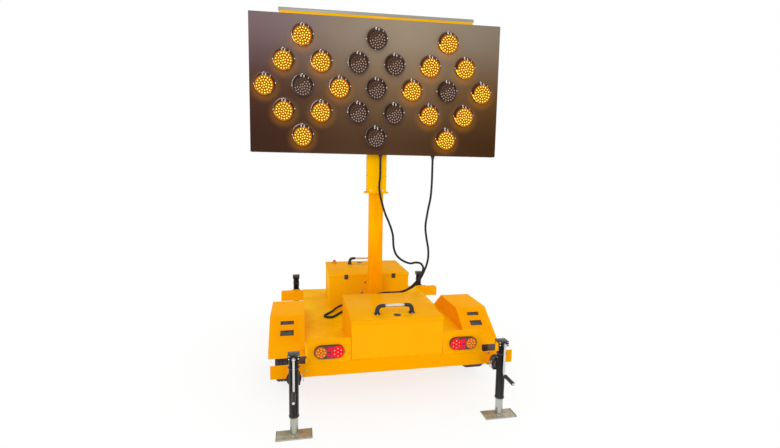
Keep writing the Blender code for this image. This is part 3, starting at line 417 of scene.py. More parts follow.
class Piece:
    """One mesh put together from shaped lumps, in the axes of a given place."""

    def __init__(self, name, place=TRAILER):
        self.name = name
        self.place = place
        self.mesh = bmesh.new()
        self.finishes = []

    def paint(self, verts, look, smooth):
        if look not in self.finishes:
            self.finishes.append(look)
        index = self.finishes.index(look)
        for face in {f for v in verts for f in v.link_faces}:
            face.material_index = index
            face.smooth = smooth

    def box(self, low, high, look, turn=None, middle=None):
        verts = bmesh.ops.create_cube(self.mesh, size=1.0)["verts"]
        low, high = Vector(low), Vector(high)
        bmesh.ops.scale(self.mesh, vec=high - low, verts=verts)
        if turn:
            bmesh.ops.rotate(self.mesh, cent=(0, 0, 0), matrix=turn, verts=verts)
        bmesh.ops.translate(self.mesh, vec=middle or (low + high) / 2, verts=verts)
        edges = list({e for v in verts for e in v.link_edges})
        size = min(high - low)
        made = bmesh.ops.bevel(self.mesh, geom=edges, offset=min(0.0025, size * 0.22), segments=2,
            affect="EDGES", profile=0.5)
        self.paint({v for f in made["faces"] for v in f.verts} | {v for v in verts if v.is_valid}, look,
            False)

    def rod(self, start, end, radius, look, sides=20, soft=0.0):
        """A round bar; soft rounds its two end edges."""
        start = Vector(start)
        along = Vector(end) - start
        long = along.length
        profile = [(0, 0), (radius, 0), (radius, long), (0, long)]
        if soft:
            flat, bend = max(radius - soft, 0.0001), soft * 0.3
            profile = [(0, 0), (flat, 0), (radius - bend, bend), (radius, soft), (radius, long - soft),
                (radius - bend, long - bend), (flat, long), (0, long)]
        self.lathe(profile, start, along, look, sides)

    def lathe(self, profile, at, axis, look, sides=24, smooth=True):
        """A profile of (radius, height) turned about an axis through a point."""
        at = Vector(at)
        turn = Vector(axis).to_track_quat("Z", "Y").to_matrix()
        rings = [[self.mesh.verts.new(at + turn @ Vector((radius * cos(a), radius * sin(a), height)))
            for a in angles(sides if radius > TINY else 1)] for radius, height in profile]
        verts = [v for ring in rings for v in ring]
        for one, two in zip(rings, rings[1:]):
            for k in range(sides):
                after = k + 1
                corners = list(dict.fromkeys((one[k % len(one)], one[after % len(one)],
                    two[after % len(two)], two[k % len(two)])))
                if len(corners) > 2:
                    self.mesh.faces.new(corners)
        self.paint(verts, look, smooth)

    def loft(self, rings, look, close_end=True, smooth=True):
        """Skin through rings of points with the same count."""
        made = [[self.mesh.verts.new(p) for p in ring] for ring in rings]
        count = len(made[0])
        for one, two in zip(made, made[1:]):
            for k in range(count):
                self.mesh.faces.new((one[k], one[(k + 1) % count], two[(k + 1) % count], two[k]))
        if close_end:
            self.mesh.faces.new(made[0][::-1])
            self.mesh.faces.new(made[-1])
        self.paint([v for ring in made for v in ring], look, smooth)

    def tube(self, points, radius, look, sides=12):
        points = [Vector(p) for p in points]
        across = None
        rings = []
        for k, at in enumerate(points):
            along = heading(points, k)
            if across is None:
                across = along.orthogonal().normalized()
            across = (across - along * across.dot(along)).normalized()
            other = along.cross(across)
            rings.append([at + radius * (cos(a) * across + sin(a) * other) for a in angles(sides)])
        self.loft(rings, look)

    def slab(self, outline, thickness, at, look, soft=0.0):
        """An upright outline with a thickness, centred on a point; soft narrows its front edge."""
        at = Vector(at)
        steps = [(-thickness / 2, 1.0 - soft), (-thickness * 0.3, 1.0), (thickness / 2, 1.0)]
        rings = [[at + Vector((a * grow, depth, b * grow)) for a, b in outline] for depth, grow in steps]
        self.loft(rings, look, smooth=False)

    def ball(self, at, radius, look, sides=8, flat=1.0):
        profile = [(radius * cos(a), radius * flat * sin(a))
            for a in (0, radians(35), radians(65))] + [(0, radius * flat)]
        self.lathe(profile, at, REARWARD, look, sides)

    def hex_head(self, at, axis, across, height, look):
        """A hexagonal bolt head on a washer, standing on a face."""
        rise = height * 0.22
        self.lathe([(0, 0), (across * 0.75, 0), (across * 0.75, rise), (0, rise)], at, axis, look, 16, False)
        base = Vector(at) + Vector(axis).normalized() * height * 0.22
        self.lathe([(0, 0), (across * 0.55, 0), (across * 0.55, height * 0.62),
            (across * 0.45, height * 0.78), (0, height * 0.78)], base, axis, look, 6, False)

    def done(self, body, stands_for=(), slot=None):
        mesh = bpy.data.meshes.new(self.name)
        bmesh.ops.recalc_face_normals(self.mesh, faces=self.mesh.faces)
        self.mesh.to_mesh(mesh)
        self.mesh.free()
        for look in self.finishes:
            mesh.materials.append(look)
        made = bpy.data.objects.new(self.name, mesh)
        link(made)
        made.matrix_world = self.place
        mesh.set_sharp_from_angle(angle=radians(42))
        if stands_for:
            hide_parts(*stands_for)
        if body:
            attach(made, body)
        return made


def dress(node, look, bevel=0.0):
    """Give a node of the model its finish, and its edges a small round."""
    made = NODES[node]
    for slot in made.material_slots:
        slot.material = look
    if bevel:
        edge = made.modifiers.new("edges", "BEVEL")
        edge.width = bevel
        edge.segments = 2
        edge.limit_method = "ANGLE"
        edge.angle_limit = radians(40)


def smooth_line(route, step):
    """Points a step apart along a smooth curve through the route's own points."""
    route = [Vector(p) for p in route]
    ends = [2 * route[0] - route[1]] + route + [2 * route[-1] - route[-2]]
    fine = []
    for a, b, c, d in zip(ends, ends[1:], ends[2:], ends[3:]):
        for k in range(24):
            t = k / 24
            fine.append(0.5 * (2 * b + (c - a) * t + (2 * a - 5 * b + 4 * c - d) * t ** 2
                + (3 * b - a - 3 * c + d) * t ** 3))
    fine.append(route[-1])
    lengths = [0.0]
    for a, b in zip(fine, fine[1:]):
        lengths.append(lengths[-1] + (b - a).length)
    count = round(lengths[-1] / step)
    points, at = [], 0
    for k in range(count + 1):
        want = lengths[-1] * k / count
        while at < len(fine) - 2 and lengths[at + 1] < want:
            at += 1
        share = (want - lengths[at]) / (lengths[at + 1] - lengths[at])
        points.append(fine[at].lerp(fine[at + 1], share))
    return points


# ---- cables
def make_cables():
    radius = CABLE_D / 2
    lie = DECK_TOP + radius + 0.002
    left_foot = lie + 0.013
    right_foot = lie + 0.03
    top = BOARD_BOTTOM - GLAND_LENGTH - GAP
    wall = MAST_HALF + GLAND_LENGTH + GAP
    right = [(0.556, -0.141, top), (0.556, -0.141, 2.0), (0.555, -0.139, 1.83), (0.546, -0.138, 1.694),
        (0.524, -0.136, 1.57), (0.503, -0.133, 1.405), (0.517, -0.131, 1.281), (0.54, -0.128, 1.155),
        (0.535, -0.125, 1.028), (0.478, -0.123, 0.875), (0.41, -0.121, 0.785), (0.348, -0.12, 0.744),
        (0.282, -0.119, 0.716), (0.228, -0.116, 0.692), (0.199, -0.098, 0.652), (0.196, -0.064, 0.608),
        (0.207, -0.037, 0.573), (0.209, -0.024, 0.554), (0.2, -0.012, 0.537), (0.183, -0.003, 0.5245),
        (0.16, 0.0, right_foot), (0.118, 0.0, right_foot), (wall, 0.0, right_foot)]
    left = [(0.027, -0.141, top), (0.027, -0.141, 2.0), (0.027, -0.139, 1.9), (0.02, -0.136, 1.808),
        (0.029, -0.127, 1.728), (0.052, -0.122, 1.637), (0.084, -0.118, 1.535), (0.136, -0.115, 1.415),
        (0.169, -0.113, 1.309), (0.18, -0.112, 1.185), (0.21, -0.112, 1.103), (0.27, -0.116, 1.047),
        (0.35, -0.128, 1.016), (0.408, -0.147, 1.028), (0.458, -0.158, 1.019), (0.485, -0.16, 0.975),
        (0.473, -0.155, 0.916), (0.436, -0.15, 0.85), (0.38, -0.147, 0.785), (0.325, -0.146, 0.745),
        (0.26, -0.146, 0.722), (0.17, -0.147, 0.716), (0.07, -0.147, 0.713), (-0.035, -0.138, 0.68),
        (-0.14, -0.1, 0.622), (-0.225, -0.02, 0.566), (-0.29, 0.045, 0.542), (-0.345, 0.068, 0.525),
        (-0.395, 0.045, 0.508), (-0.435, -0.012, lie + 0.006), (-0.475, -0.07, lie), (-0.51, -0.12, lie),
        (-0.52, -0.15, lie), (-0.5095, -0.181, lie), (-0.482, -0.2, lie), (-0.4485, -0.198, lie),
        (-0.423, -0.176, lie), (-0.385, -0.11, lie), (-0.34, -0.038, lie), (-0.285, 0.0, lie),
        (-0.22, 0.008, lie + 0.002), (-0.167, 0.0, left_foot), (-0.128, 0.0, left_foot),
        (-wall, 0.0, left_foot)]
    for name, route, end in (("cable_right", right, right_foot), ("cable_left", left, left_foot)):
        line = [AIM @ p for p in smooth_line(route, 0.016)]
        piece = Piece(name + "_jacket", Matrix())
        piece.tube(line, radius, CABLE_SKIN, 14)
        made = piece.done("mast", (name,), "cable_rubber")
        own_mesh(made)

    nose = GLAND_LENGTH
    relief = [(0.0112, nose + 0.018), (0.0122, nose + 0.018), (0.014, nose + 0.006), (0.0165, nose - 0.002),
        (0.0168, nose - 0.006), (0.0168, 0.0004), (0.0112, 0.0004)]
    nut = [(0.015, 0.0004), (0.0205, 0.0004), (0.0215, 0.0025), (0.0215, 0.0085), (0.02, 0.01),
        (0.015, 0.01)]
    glands = [("board_right", "head", (BOARD_CABLE_X[0], BOARD_CABLE_Y, BOARD_BOTTOM), (0, 0, -1)),
        ("board_left", "head", (BOARD_CABLE_X[1], BOARD_CABLE_Y, BOARD_BOTTOM), (0, 0, -1)),
        ("mast_right", "mast", (MAST_HALF, 0, right_foot), (1, 0, 0)),
        ("mast_left", "mast", (-MAST_HALF, 0, left_foot), (-1, 0, 0))]
    for label, body, at, away in glands:
        piece = Piece("gland_" + label, AIM)
        piece.lathe(relief, at, away, PLASTIC, 24)
        piece.lathe(nut, at, away, PLASTIC, 6, False)
        piece.done(body)


# ---- lamps
BOWL = [(0.0965, 0.0, 0.0055), (0.096, -0.001, 0.013), (0.094, -0.004, 0.024), (0.0895, -0.009, 0.0345),
    (0.085, -0.016, 0.0425), (0.0825, -0.02, 0.0458)]
LED_STRETCH = 1.06
LED_RINGS = ((1, 0.0, 0.0), (6, 0.0225, 0.3), (12, 0.045, 0.1), (17, 0.0675, 0.0))


def bowl_point(ring, angle, out=0.0):
    radius, drop, depth = ring
    sag = 0.009 * max(0.0, -sin(angle)) * min(1.0, depth / 0.04)
    return ((radius + out) * cos(angle), -depth - out, drop + (radius + out + sag) * sin(angle))


def lamp_ring(ring, sides=32):
    return [bowl_point(ring, a) for a in angles(sides)]


def bowl_patch(piece, middle, wide, rings, look, out):
    """A patch that lies on the bowl, between two angles."""
    rows = [[piece.mesh.verts.new(bowl_point(ring, middle + wide * t / 4, out)) for t in range(-4, 5)]
        for ring in rings]
    for one, two in zip(rows, rows[1:]):
        for k in range(8):
            piece.mesh.faces.new((one[k], one[k + 1], two[k + 1], two[k]))
    piece.paint([v for row in rows for v in row], look, True)


def lamp_mesh(name, lit):
    """A lamp seen from the front: flange, smoked bowl that leans down, a field of LEDs, and painted
    highlights and painted reflections on the bowl.
    """
    piece = Piece(name, Matrix())
    piece.lathe([(0, 0), (0.104, 0), (0.105, 0.002), (0.103, 0.005), (0.095, 0.006)], (0, 0, 0), REARWARD,
        FLANGE, 32)
    bowl = SMOKED_LIT if lit else SMOKED
    piece.loft([lamp_ring(ring) for ring in BOWL], bowl, close_end=False)
    edge = BOWL[-1]
    front = [edge, (0.082, -0.0205, 0.0464), (0.08, -0.021, 0.0462)]
    piece.loft([lamp_ring(ring) for ring in front], RIM_LIT if lit else bowl, close_end=False)
    disc = [(0.08, -0.021, 0.0462), (0.079, -0.021, 0.044), (0.03, -0.021, 0.0448), (0.001, -0.021, 0.0452)]
    piece.loft([lamp_ring(ring) for ring in disc], FACE_LIT if lit else FACE_OFF, close_end=False)
    for count, radius, start in LED_RINGS:
        for k in range(count):
            angle = start + 2 * pi * k / count
            x, z = radius * cos(angle), radius * sin(angle)
            # Painted shade: on unlit lamps the LEDs near the top of the bowl take a darker colour.
            look = LED_LIT if lit else PAINTED_SHADE_LED if z - 0.45 * x > 0.034 else LED_OFF
            piece.ball((x, -0.0445, -0.023 + z * LED_STRETCH), 0.006 if lit else 0.0066, look, 8, 0.6)
    for angle in (4, 94, 184, 262):
        at = (0.0985 * cos(radians(angle)), -0.005, 0.0985 * sin(radians(angle)))
        piece.lathe([(0.006, 0), (0.006, 0.0018), (0.0042, 0.0034), (0.0, 0.004)], at, REARWARD, CHROME, 10)
    # Painted highlights: pale patches on the bowl where light glints on it.
    for angle, wide, rings in ((99, 0.06, BOWL[0:5]), (81, 0.05, BOWL[2:6]), (52, 0.035, BOWL[2:5]),
            (238, 0.05, BOWL[3:6])):
        if not lit or angle < 200:
            bowl_patch(piece, radians(angle), wide, rings, PAINTED_HIGHLIGHT, 0.0004)
    # Painted reflection of the LEDs' light on the lower bowl of a lit lamp: a glowing band and glowing
    # spots.
    if lit:
        bowl_patch(piece, radians(262), 1.15, BOWL[2:6], RIM_LIT, 0.0003)
        for angle, wide in ((198, 0.09), (216, 0.12), (237, 0.13), (258, 0.14), (278, 0.1), (302, 0.08)):
            bowl_patch(piece, radians(angle), wide, BOWL[1:5], PAINTED_LED_REFLECTION, 0.0009)
    return piece


def make_lamps():
    shared = {}
    for row, number, column, at in lamp_places():
        lit = (row, column) not in UNLIT
        name = f"lamp_{3 - row}_{number}_front"
        if lit not in shared:
            made = lamp_mesh(name, lit).done(None)
            shared[lit] = made.data
        else:
            made = bpy.data.objects.new(name, shared[lit])
            link(made)
        made.matrix_world = AIM @ Matrix.Translation(at)
        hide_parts(f"lamp_row{3 - row}_{number}")
        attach(made, "head")


# ---- board, mast, solar panel
def make_board():
    shade_board(BOARD_PAINT, BOARD_BOTTOM, BOARD_BOTTOM + BOARD_HEIGHT, BOARD_WIDTH / 2)
    dress("board", BOARD_PAINT, 0.003)
    dress("mast_sleeve", SLEEVE_PAINT, 0.003)
    dress("mast_lower", MAST_PAINT, 0.005)

    bolts = Piece("sleeve_bolts", AIM)
    for side, heights in ((-1, (2.08, 1.91, 1.77)), (1, (1.975, 1.9, 1.76))):
        for z in heights:
            bolts.hex_head((side * SLEEVE_HALF, -0.03, z), (side, 0, 0), 0.013, 0.01, CHROME)
    for x in (-0.06, 0.06):
        bolts.hex_head((x, -SLEEVE_HALF, 1.762), REARWARD, 0.009, 0.007, CHROME)
        bolts.ball((x, -SLEEVE_HALF, 1.896), 0.006, SLEEVE_PAINT, 10, 0.5)
    for side in (-1, 1):
        for y in (-0.06, 0.06):
            bolts.hex_head((side * 0.109, y, SLEEVE_BOTTOM + 0.01), UP, 0.012, 0.009, ZINC)
    for z in (BOARD_BOTTOM + 0.28, BOARD_BOTTOM + BOARD_HEIGHT - 0.28):
        for x in (-0.42, -0.2, 0.2, 0.42):
            bolts.hex_head((x, BOARD_FACE_Y + BOARD_DEPTH + 0.03, z), (0, 1, 0), 0.014, 0.01, ZINC)
    bolts.done("head")

    flange = Piece("mast_flange_bolts", AIM)
    for angle in angles(8, 0.5):
        flange.hex_head((0.125 * cos(angle), 0.125 * sin(angle), DECK_TOP + 0.0103), UP, 0.012, 0.01, ZINC)
    flange.done("mast")

    near, far = SOLAR_EDGE_Y, SOLAR_EDGE_Y + SOLAR_WIDTH
    low, half = SOLAR_TOP - SOLAR_THICK, SOLAR_LENGTH / 2
    panel = Piece("solar_frame", AIM)
    wide = 0.03
    panel.box((-half, near, low), (half, near + wide, SOLAR_TOP), ALUMINIUM)
    panel.box((-half, far - wide, low), (half, far, SOLAR_TOP), ALUMINIUM)
    for side in (-1, 1):
        x0, x1 = sorted((side * half, side * (half - wide)))
        panel.box((x0, near + wide - 0.001, low), (x1, far - wide + 0.001, SOLAR_TOP), ALUMINIUM)
    panel.box((-half + 0.01, near + 0.01, low + 0.021), (half - 0.01, far - 0.01, SOLAR_TOP - 0.004),
        SOLAR_CELLS)
    panel.box((-0.06, 0.33, low + 0.002), (0.06, 0.41, low + 0.022), PLASTIC)
    panel.done("head", ("solar_panel",), "solar_glass")


def make_cells():
    """Dark blue cells under glass with silver grid lines."""
    made = finish("solar_cells", (0.006, 0.012, 0.05), (0.012, 0.024, 0.085), rough=0.12,
        scale=8, bump=0.01, coat=1.0)
    tree, shader = shader_of(made)
    before = shader.inputs["Base Color"].links[0].from_socket
    place = add(tree, "TexCoord").outputs["Object"]
    grid = add(tree, "TexBrick", {"Vector": place, "Scale": 1.0, "Brick Width": CELL_PITCH,
        "Row Height": CELL_PITCH, "Mortar Size": CELL_GAP}, offset=0.0)
    feed(tree, shader, {"Base Color": mixed(tree, grid.outputs["Fac"], before, (0.55, 0.57, 0.6, 1))})
    return made


SOLAR_CELLS = make_cells()


# ---- lids, handles, locks
def make_lid(prefix, size, body, handle):
    """A pressed lid with rounded edges, its bow handle with a silver grip, and its lock."""
    x0, x1, y0, y1, top = size
    lid = Piece(prefix + "_lid_shell")
    sheet = 0.003
    skirt = BRIGHTENED_BOX_PAINT if prefix == "far" else YELLOW
    lid.box((x0, y0, top - sheet), (x1, y1, top), LID_PAINT)
    low, under = top - LID_DEPTH, top - 0.001
    for y in (y0, y1 - sheet):
        lid.box((x0, y, low), (x1, y + sheet, under), skirt)
    for x in (x0, x1 - sheet):
        lid.box((x, y0 + 0.001, low), (x + sheet, y1 - 0.001, under), skirt)
    if prefix == "far":
        x, y = STOP_AT
        lid.lathe([(0.0095, 0.0), (0.0205, 0.0), (0.0205, 0.012), (0.0185, 0.0155), (0.0095, 0.0155)],
            (x, y, top), UP, YELLOW, 24)
        lid.lathe([(0.0095, 0.0005), (0.03, 0.0005), (0.03, 0.0016), (0.0095, 0.0016)], (x, y, top), UP,
            PLASTIC, 28)
    lid.done(body, (prefix + "_lid",), "yellow_paint")

    middle, y, width, height = handle
    half = width / 2
    bow = Piece(prefix + "_handle")
    for side in (-1, 1):
        x = middle + side * half
        bow.box((x - 0.0235, y - 0.019, top + 0.0003), (x + 0.0235, y + 0.019, top + 0.012), PLASTIC)
        route = [(x, y, top + 0.008), (x, y, top + 0.4 * height), (x - side * 0.003, y, top + 0.66 * height),
            (x - side * 0.016, y, top + 0.91 * height), (x - side * 0.04, y, top + height),
            (x - side * 0.066, y, top + height)]
        line = smooth_line(route, 0.008)
        rings = []
        for k, at in enumerate(line):
            out = heading(line, k).cross(Vector((0, 1, 0)))
            wide = 0.0205 - 0.0055 * k / (len(line) - 1)
            rings.append([at + wide * cos(a) * out * 0.95 + wide * sin(a) * Vector((0, 1, 0))
                for a in angles(12, 0.5)])
        bow.loft(rings, PLASTIC)
        bow.ball((x, y - 0.0188, top + 0.006), 0.004, CHROME, 8, 0.5)
    start, end = middle - half + 0.06, middle + half - 0.06
    bow.rod((start, y, top + height), (end, y, top + height), 0.0128, GRIP_SILVER, sides=24, soft=0.002)
    for k in range(4):
        x = start + (end - start) * (0.06 + 0.03 * k if k < 2 else 0.88 + 0.03 * (k - 2))
        bow.lathe([(0.0128, 0), (0.0134, 0.001), (0.0134, 0.0022), (0.0128, 0.0032)], (x, y, top + height),
            (1, 0, 0), ALUMINIUM, 20)
    bow.done(body)

    lock = Piece(prefix + "_lock")
    at = (0.01, -1.098, top) if prefix == "near" else (-0.045, 0.79, top)
    lock.lathe([(0.0, 0.0004), (0.03, 0.0004), (0.03, 0.003), (0.026, 0.0055), (0.014, 0.0065),
        (0.0, 0.0065)], at, UP, BLACK_PAINT, 28)
    lock.lathe([(0.0, 0.0), (0.006, 0.0), (0.006, 0.0012), (0.0, 0.0012)], (at[0], at[1], top + 0.0065), UP,
        ZINC, 20)
    lock.box((at[0] - 0.0012, at[1] - 0.006, top + 0.0078), (at[0] + 0.0012, at[1] + 0.006, top + 0.0082),
        BLACK_PAINT)
    lock.done(body)


def make_hinges(prefix, face, away, pin_z, places, lid, screws):
    """A pair of butt hinges: the leaf on the box, the flap on the lid, and the knuckles between."""
    y = face + away * 0.006
    leaf = sorted((face - away * 0.0005, face - away * 0.0037))
    flap = sorted((face + away * 0.0004, face + away * 0.0035))
    for (_, label), x in zip(SIDES, places):
        fixed = Piece(f"{prefix}hinge_leaf_{label}")
        fixed.box((x - 0.021, leaf[0], pin_z - 0.028), (x + 0.021, leaf[1], pin_z - 0.002), BLACK_PAINT)
        for start, end in ((-0.021, -0.008), (0.008, 0.021)):
            fixed.rod((x + start, y, pin_z), (x + end, y, pin_z), 0.0055, BLACK_PAINT, sides=14)
        if screws:
            for dx in (-0.012, 0.012):
                fixed.ball((x + dx, face + 0.0005, pin_z - 0.018), 0.0035, ZINC, 8, 0.5)
        fixed.done("chassis")
        moving = Piece(f"{prefix}hinge_flap_{label}")
        moving.box((x - 0.021, flap[0], pin_z + 0.0065), (x + 0.021, flap[1], pin_z + 0.024), BLACK_PAINT)
        moving.rod((x - 0.0075, y, pin_z), (x + 0.0075, y, pin_z), 0.0055, BLACK_PAINT, sides=14)
        moving.done(lid)


def make_boxes():
    dress("near_box", YELLOW, 0.002)
    dress("far_box", BRIGHTENED_BOX_PAINT, 0.002)
    make_lid("near", NEAR_BOX, "near_lid", (-0.005, -1.06, 0.29, 0.07))
    make_lid("far", FAR_BOX, "far_lid", (-0.029, 0.715, 0.29, 0.07))

    face = FAR_BOX[2]
    make_hinges("", face, -1, 0.812, (-0.27, 0.254), "far_lid", True)
    small = Piece("far_box_latch")
    small.lathe([(0, 0), (0.013, 0), (0.013, 0.004), (0.009, 0.007), (0.0, 0.008)],
        (-0.1, face + 0.0037, 0.64), REARWARD, ZINC, 20)
    small.box((-0.106, face - 0.01, 0.612), (-0.094, face - 0.004, 0.64), ZINC)
    small.lathe([(0, 0), (0.009, 0), (0.009, 0.003), (0.0, 0.005)], (-0.06, face + 0.0037, 0.745), REARWARD,
        BLACK_PAINT, 16)
    small.done("chassis")

    make_hinges("near_", NEAR_BOX[3], 1, 0.762, (-0.23, 0.23), "near_lid", False)

    x, y = STOP_AT
    top = FAR_BOX[4]
    cap = Piece("stop_button_cap")
    cap.lathe([(0.0, 0.0345), (0.01, 0.034), (0.017, 0.0315), (0.0205, 0.0275), (0.0212, 0.0235),
        (0.0195, 0.0215), (0.008, 0.0215), (0.008, 0.0075), (0.0, 0.0075)][::-1], (x, y, top), UP, RED_CAP,
        32)
    cap.done("e_stop", ("e_stop_button",), "red_plastic")


# ---- chassis, deck, mudguards
def make_chassis():
    dress("chassis_frame", YELLOW, 0.004)
    dress("deck", DECK_PAINT, 0.001)
    dress("coupler", BLACK_PAINT, 0.002)
    dress("coupler_latch", ZINC, 0.002)
    for side in ("left", "right"):
        dress("mudguard_" + side, YELLOW, 0.004)

    rear = REAR_FACE_Y + 0.002
    for side, label in SIDES:
        panel = Piece("light_panel_" + label)
        x0, x1 = sorted((side * 0.3765, side * 0.7085))
        panel.box((x0, rear - 0.0006, 0.479), (x1, rear + 0.0012, 0.6585), YELLOW)
        panel.box((x0, rear, 0.657), (x1, rear + 0.03, 0.6602), YELLOW)
        panel.done("chassis")

        # Painted shade in the gap between the rear beam and the mudguard: a dark grey sheet, and on the
        # right a black strip of painted shadow drawn in the tyre rubber finish.
        inner = Piece("beam_gap_shade_" + label)
        gap_sheets = [(-0.795, -0.716, GAP_GREY)]
        if side > 0:
            gap_sheets = [(0.757, 0.8075, RUBBER), (0.808, 0.884, GAP_GREY)]
        for x0, x1, look in gap_sheets:
            inner.box((x0, REAR_FACE_Y + 0.094, 0.432), (x1, REAR_FACE_Y + 0.1, 0.494), look)
            inner.box((x0, REAR_FACE_Y + 0.094, 0.428), (x1, GUARD_FOOT[0] + 0.006, 0.432), YELLOW)
        inner.done("chassis")

        # Painted shade: dark grey sheets set behind the mudguard's slots, where the inside of the guard lies
        # in shade.
        shade_sheets = Piece("guard_slot_shade_" + label)
        run = Vector((0, GUARD_FOOT[0] - GUARD_FOLD[0], GUARD_FOOT[1] - GUARD_FOLD[1]))
        inward = Vector((0, -run.z, run.y)).normalized()
        turn = Matrix.Rotation(atan2(run.z, run.y), 3, "X")
        for start, end in GUARD_SLOTS:
            at = Vector((side * GUARD_X, *GUARD_FOLD)) + run * (start + end) / 2 + inward * 0.012
            size = Vector((SLOT_HALF + 0.006, run.length * (end - start) / 2 + 0.006, 0.003))
            shade_sheets.box(-size, size, SLOT_SHADE, turn, at)
        shade_sheets.done("chassis")

    mark = Piece("beam_plug")
    mark.lathe([(0.0, 0), (0.008, 0), (0.008, 0.002), (0.0, 0.003)], (-0.716, REAR_FACE_Y, 0.42), REARWARD,
        ZINC, 16)
    mark.done("chassis")

    bolts = Piece("chassis_bolts")
    for side in (-1, 1):
        for y in (-0.7, -0.3):
            bolts.hex_head((side * GUARD_IN, y, 0.42), (-side, 0, 0), 0.012, 0.009, ZINC)
    for y in (2.002, 2.029):
        for side in (-1, 1):
            bolts.hex_head((side * 0.03, y, 0.4743), UP, 0.012, 0.009, ZINC)
    bolts.done("chassis")


def oval(half_length, half_height):
    """The outline of a bar with round ends."""
    points = []
    for side, start in ((1, -pi / 2), (-1, pi / 2)):
        for k in range(11):
            angle = start + pi * k / 10
            points.append((side * (half_length - half_height) + half_height * cos(angle),
                half_height * sin(angle)))
    return points


def make_tail_lights():
    """Long lens: white LEDs in red towards the middle, magenta between, amber outside."""
    front = REAR_FACE_Y + 0.002 - GAP - 0.024
    for side, label in SIDES:
        centre = side * TAIL_X
        lamp = Piece("tail_light_front_" + label)
        lamp.slab(oval(0.117, 0.053), 0.02, (centre, front + 0.014, TAIL_Z), LENS_BASE, soft=0.03)
        inner, outer = centre - side * 0.064, centre + side * 0.064
        for middle, look, radius in ((inner, RED_LENS, 0.0475), (outer, AMBER_LENS, 0.0445)):
            lamp.lathe([(radius + 0.001, -0.004), (radius, 0.0035), (radius - 0.004, 0.0055),
                (radius * 0.6, 0.0068), (0, 0.0072)], (middle, front + 0.005, TAIL_Z), REARWARD, look, 32)
        for up in (-1, 1):
            lamp.box((centre - 0.021 - side * 0.004, front - 0.0005, TAIL_Z + up * 0.024 - 0.019),
                (centre + 0.021 - side * 0.004, front + 0.006, TAIL_Z + up * 0.024 + 0.019), PINK_LENS)
        for k in range(7):
            radius = 0.0 if k == 0 else 0.029
            angle = radians(60 * k + 30)
            lamp.ball((inner + radius * cos(angle), front - 0.0012, TAIL_Z + radius * sin(angle)), 0.0048,
                LENS_LED, 10, 0.5)
        for k in range(12):
            radius = 0.014 if k < 4 else 0.031
            angle = 2 * pi * (k / 4 if k < 4 else (k - 4) / 8)
            lamp.ball((outer + radius * cos(angle), front - 0.0008, TAIL_Z + radius * sin(angle)), 0.0046,
                AMBER_DOT, 8, 0.6)
        lamp.done("chassis", ("tail_light_" + label,), "red_lens")


# ---- wheels
def make_wheels():
    for side, label in SIDES:
        hub = Matrix.Translation((side * WHEEL_X, WHEEL_Y, WHEEL_Z))
        place = TRAILER @ hub @ Matrix.Rotation(radians(90 * side), 4, "Y")
        tyre = Piece("tyre_body_" + label, place)
        grooves = []
        for a, b in ((0.052, 0.046), (0.024, 0.018), (-0.018, -0.024), (-0.046, -0.052)):
            grooves += [(TYRE_R - 0.0025, a), (TYRE_R - 0.0095, a - 0.001), (TYRE_R - 0.0095, b + 0.001),
                (TYRE_R - 0.0025, b)]
        outer = [(0.159, 0.053), (0.171, 0.0545), (0.183, 0.06), (0.2, 0.077), (0.204, 0.0805),
            (0.209, 0.08), (0.228, 0.087), (0.242, 0.0865), (0.253, 0.082), (0.26, 0.073), (0.264, 0.066)]
        profile = outer + grooves + [(r, -z) for r, z in outer[::-1]]
        tyre.lathe(profile, (0, 0, 0), UP, RUBBER, 64)
        for angle in angles(56):
            turn = Matrix.Rotation(angle, 3, "Z")
            for z in (-0.062, 0.062):
                tyre.box((-0.0035, -0.0035, -0.006), (0.0035, 0.0035, 0.006), RUBBER, turn,
                    turn @ Vector((TYRE_R - 0.0065, 0, z)))
        tyre.done("wheel_" + label, ("tyre_" + label,), "tyre_rubber")

        rim = Piece("wheel_trim_" + label, place)
        for angle in angles(5):
            at = (0.03 * cos(angle) * 2.6, 0.03 * sin(angle) * 2.6, 0.03)
            rim.hex_head(at, UP, 0.017, 0.015, CHROME)
        rim.lathe([(0.0, 0.072), (0.022, 0.07), (0.03, 0.064), (0.033, 0.0425)], (0, 0, 0), UP, ZINC, 28)
        rim.rod((0.128, 0.0, 0.03), (0.136, 0.0, 0.062), 0.004, BLACK_PAINT, sides=10)
        rim.done("wheel_" + label)
        dress("rim_" + label, WHEEL_PAINT)


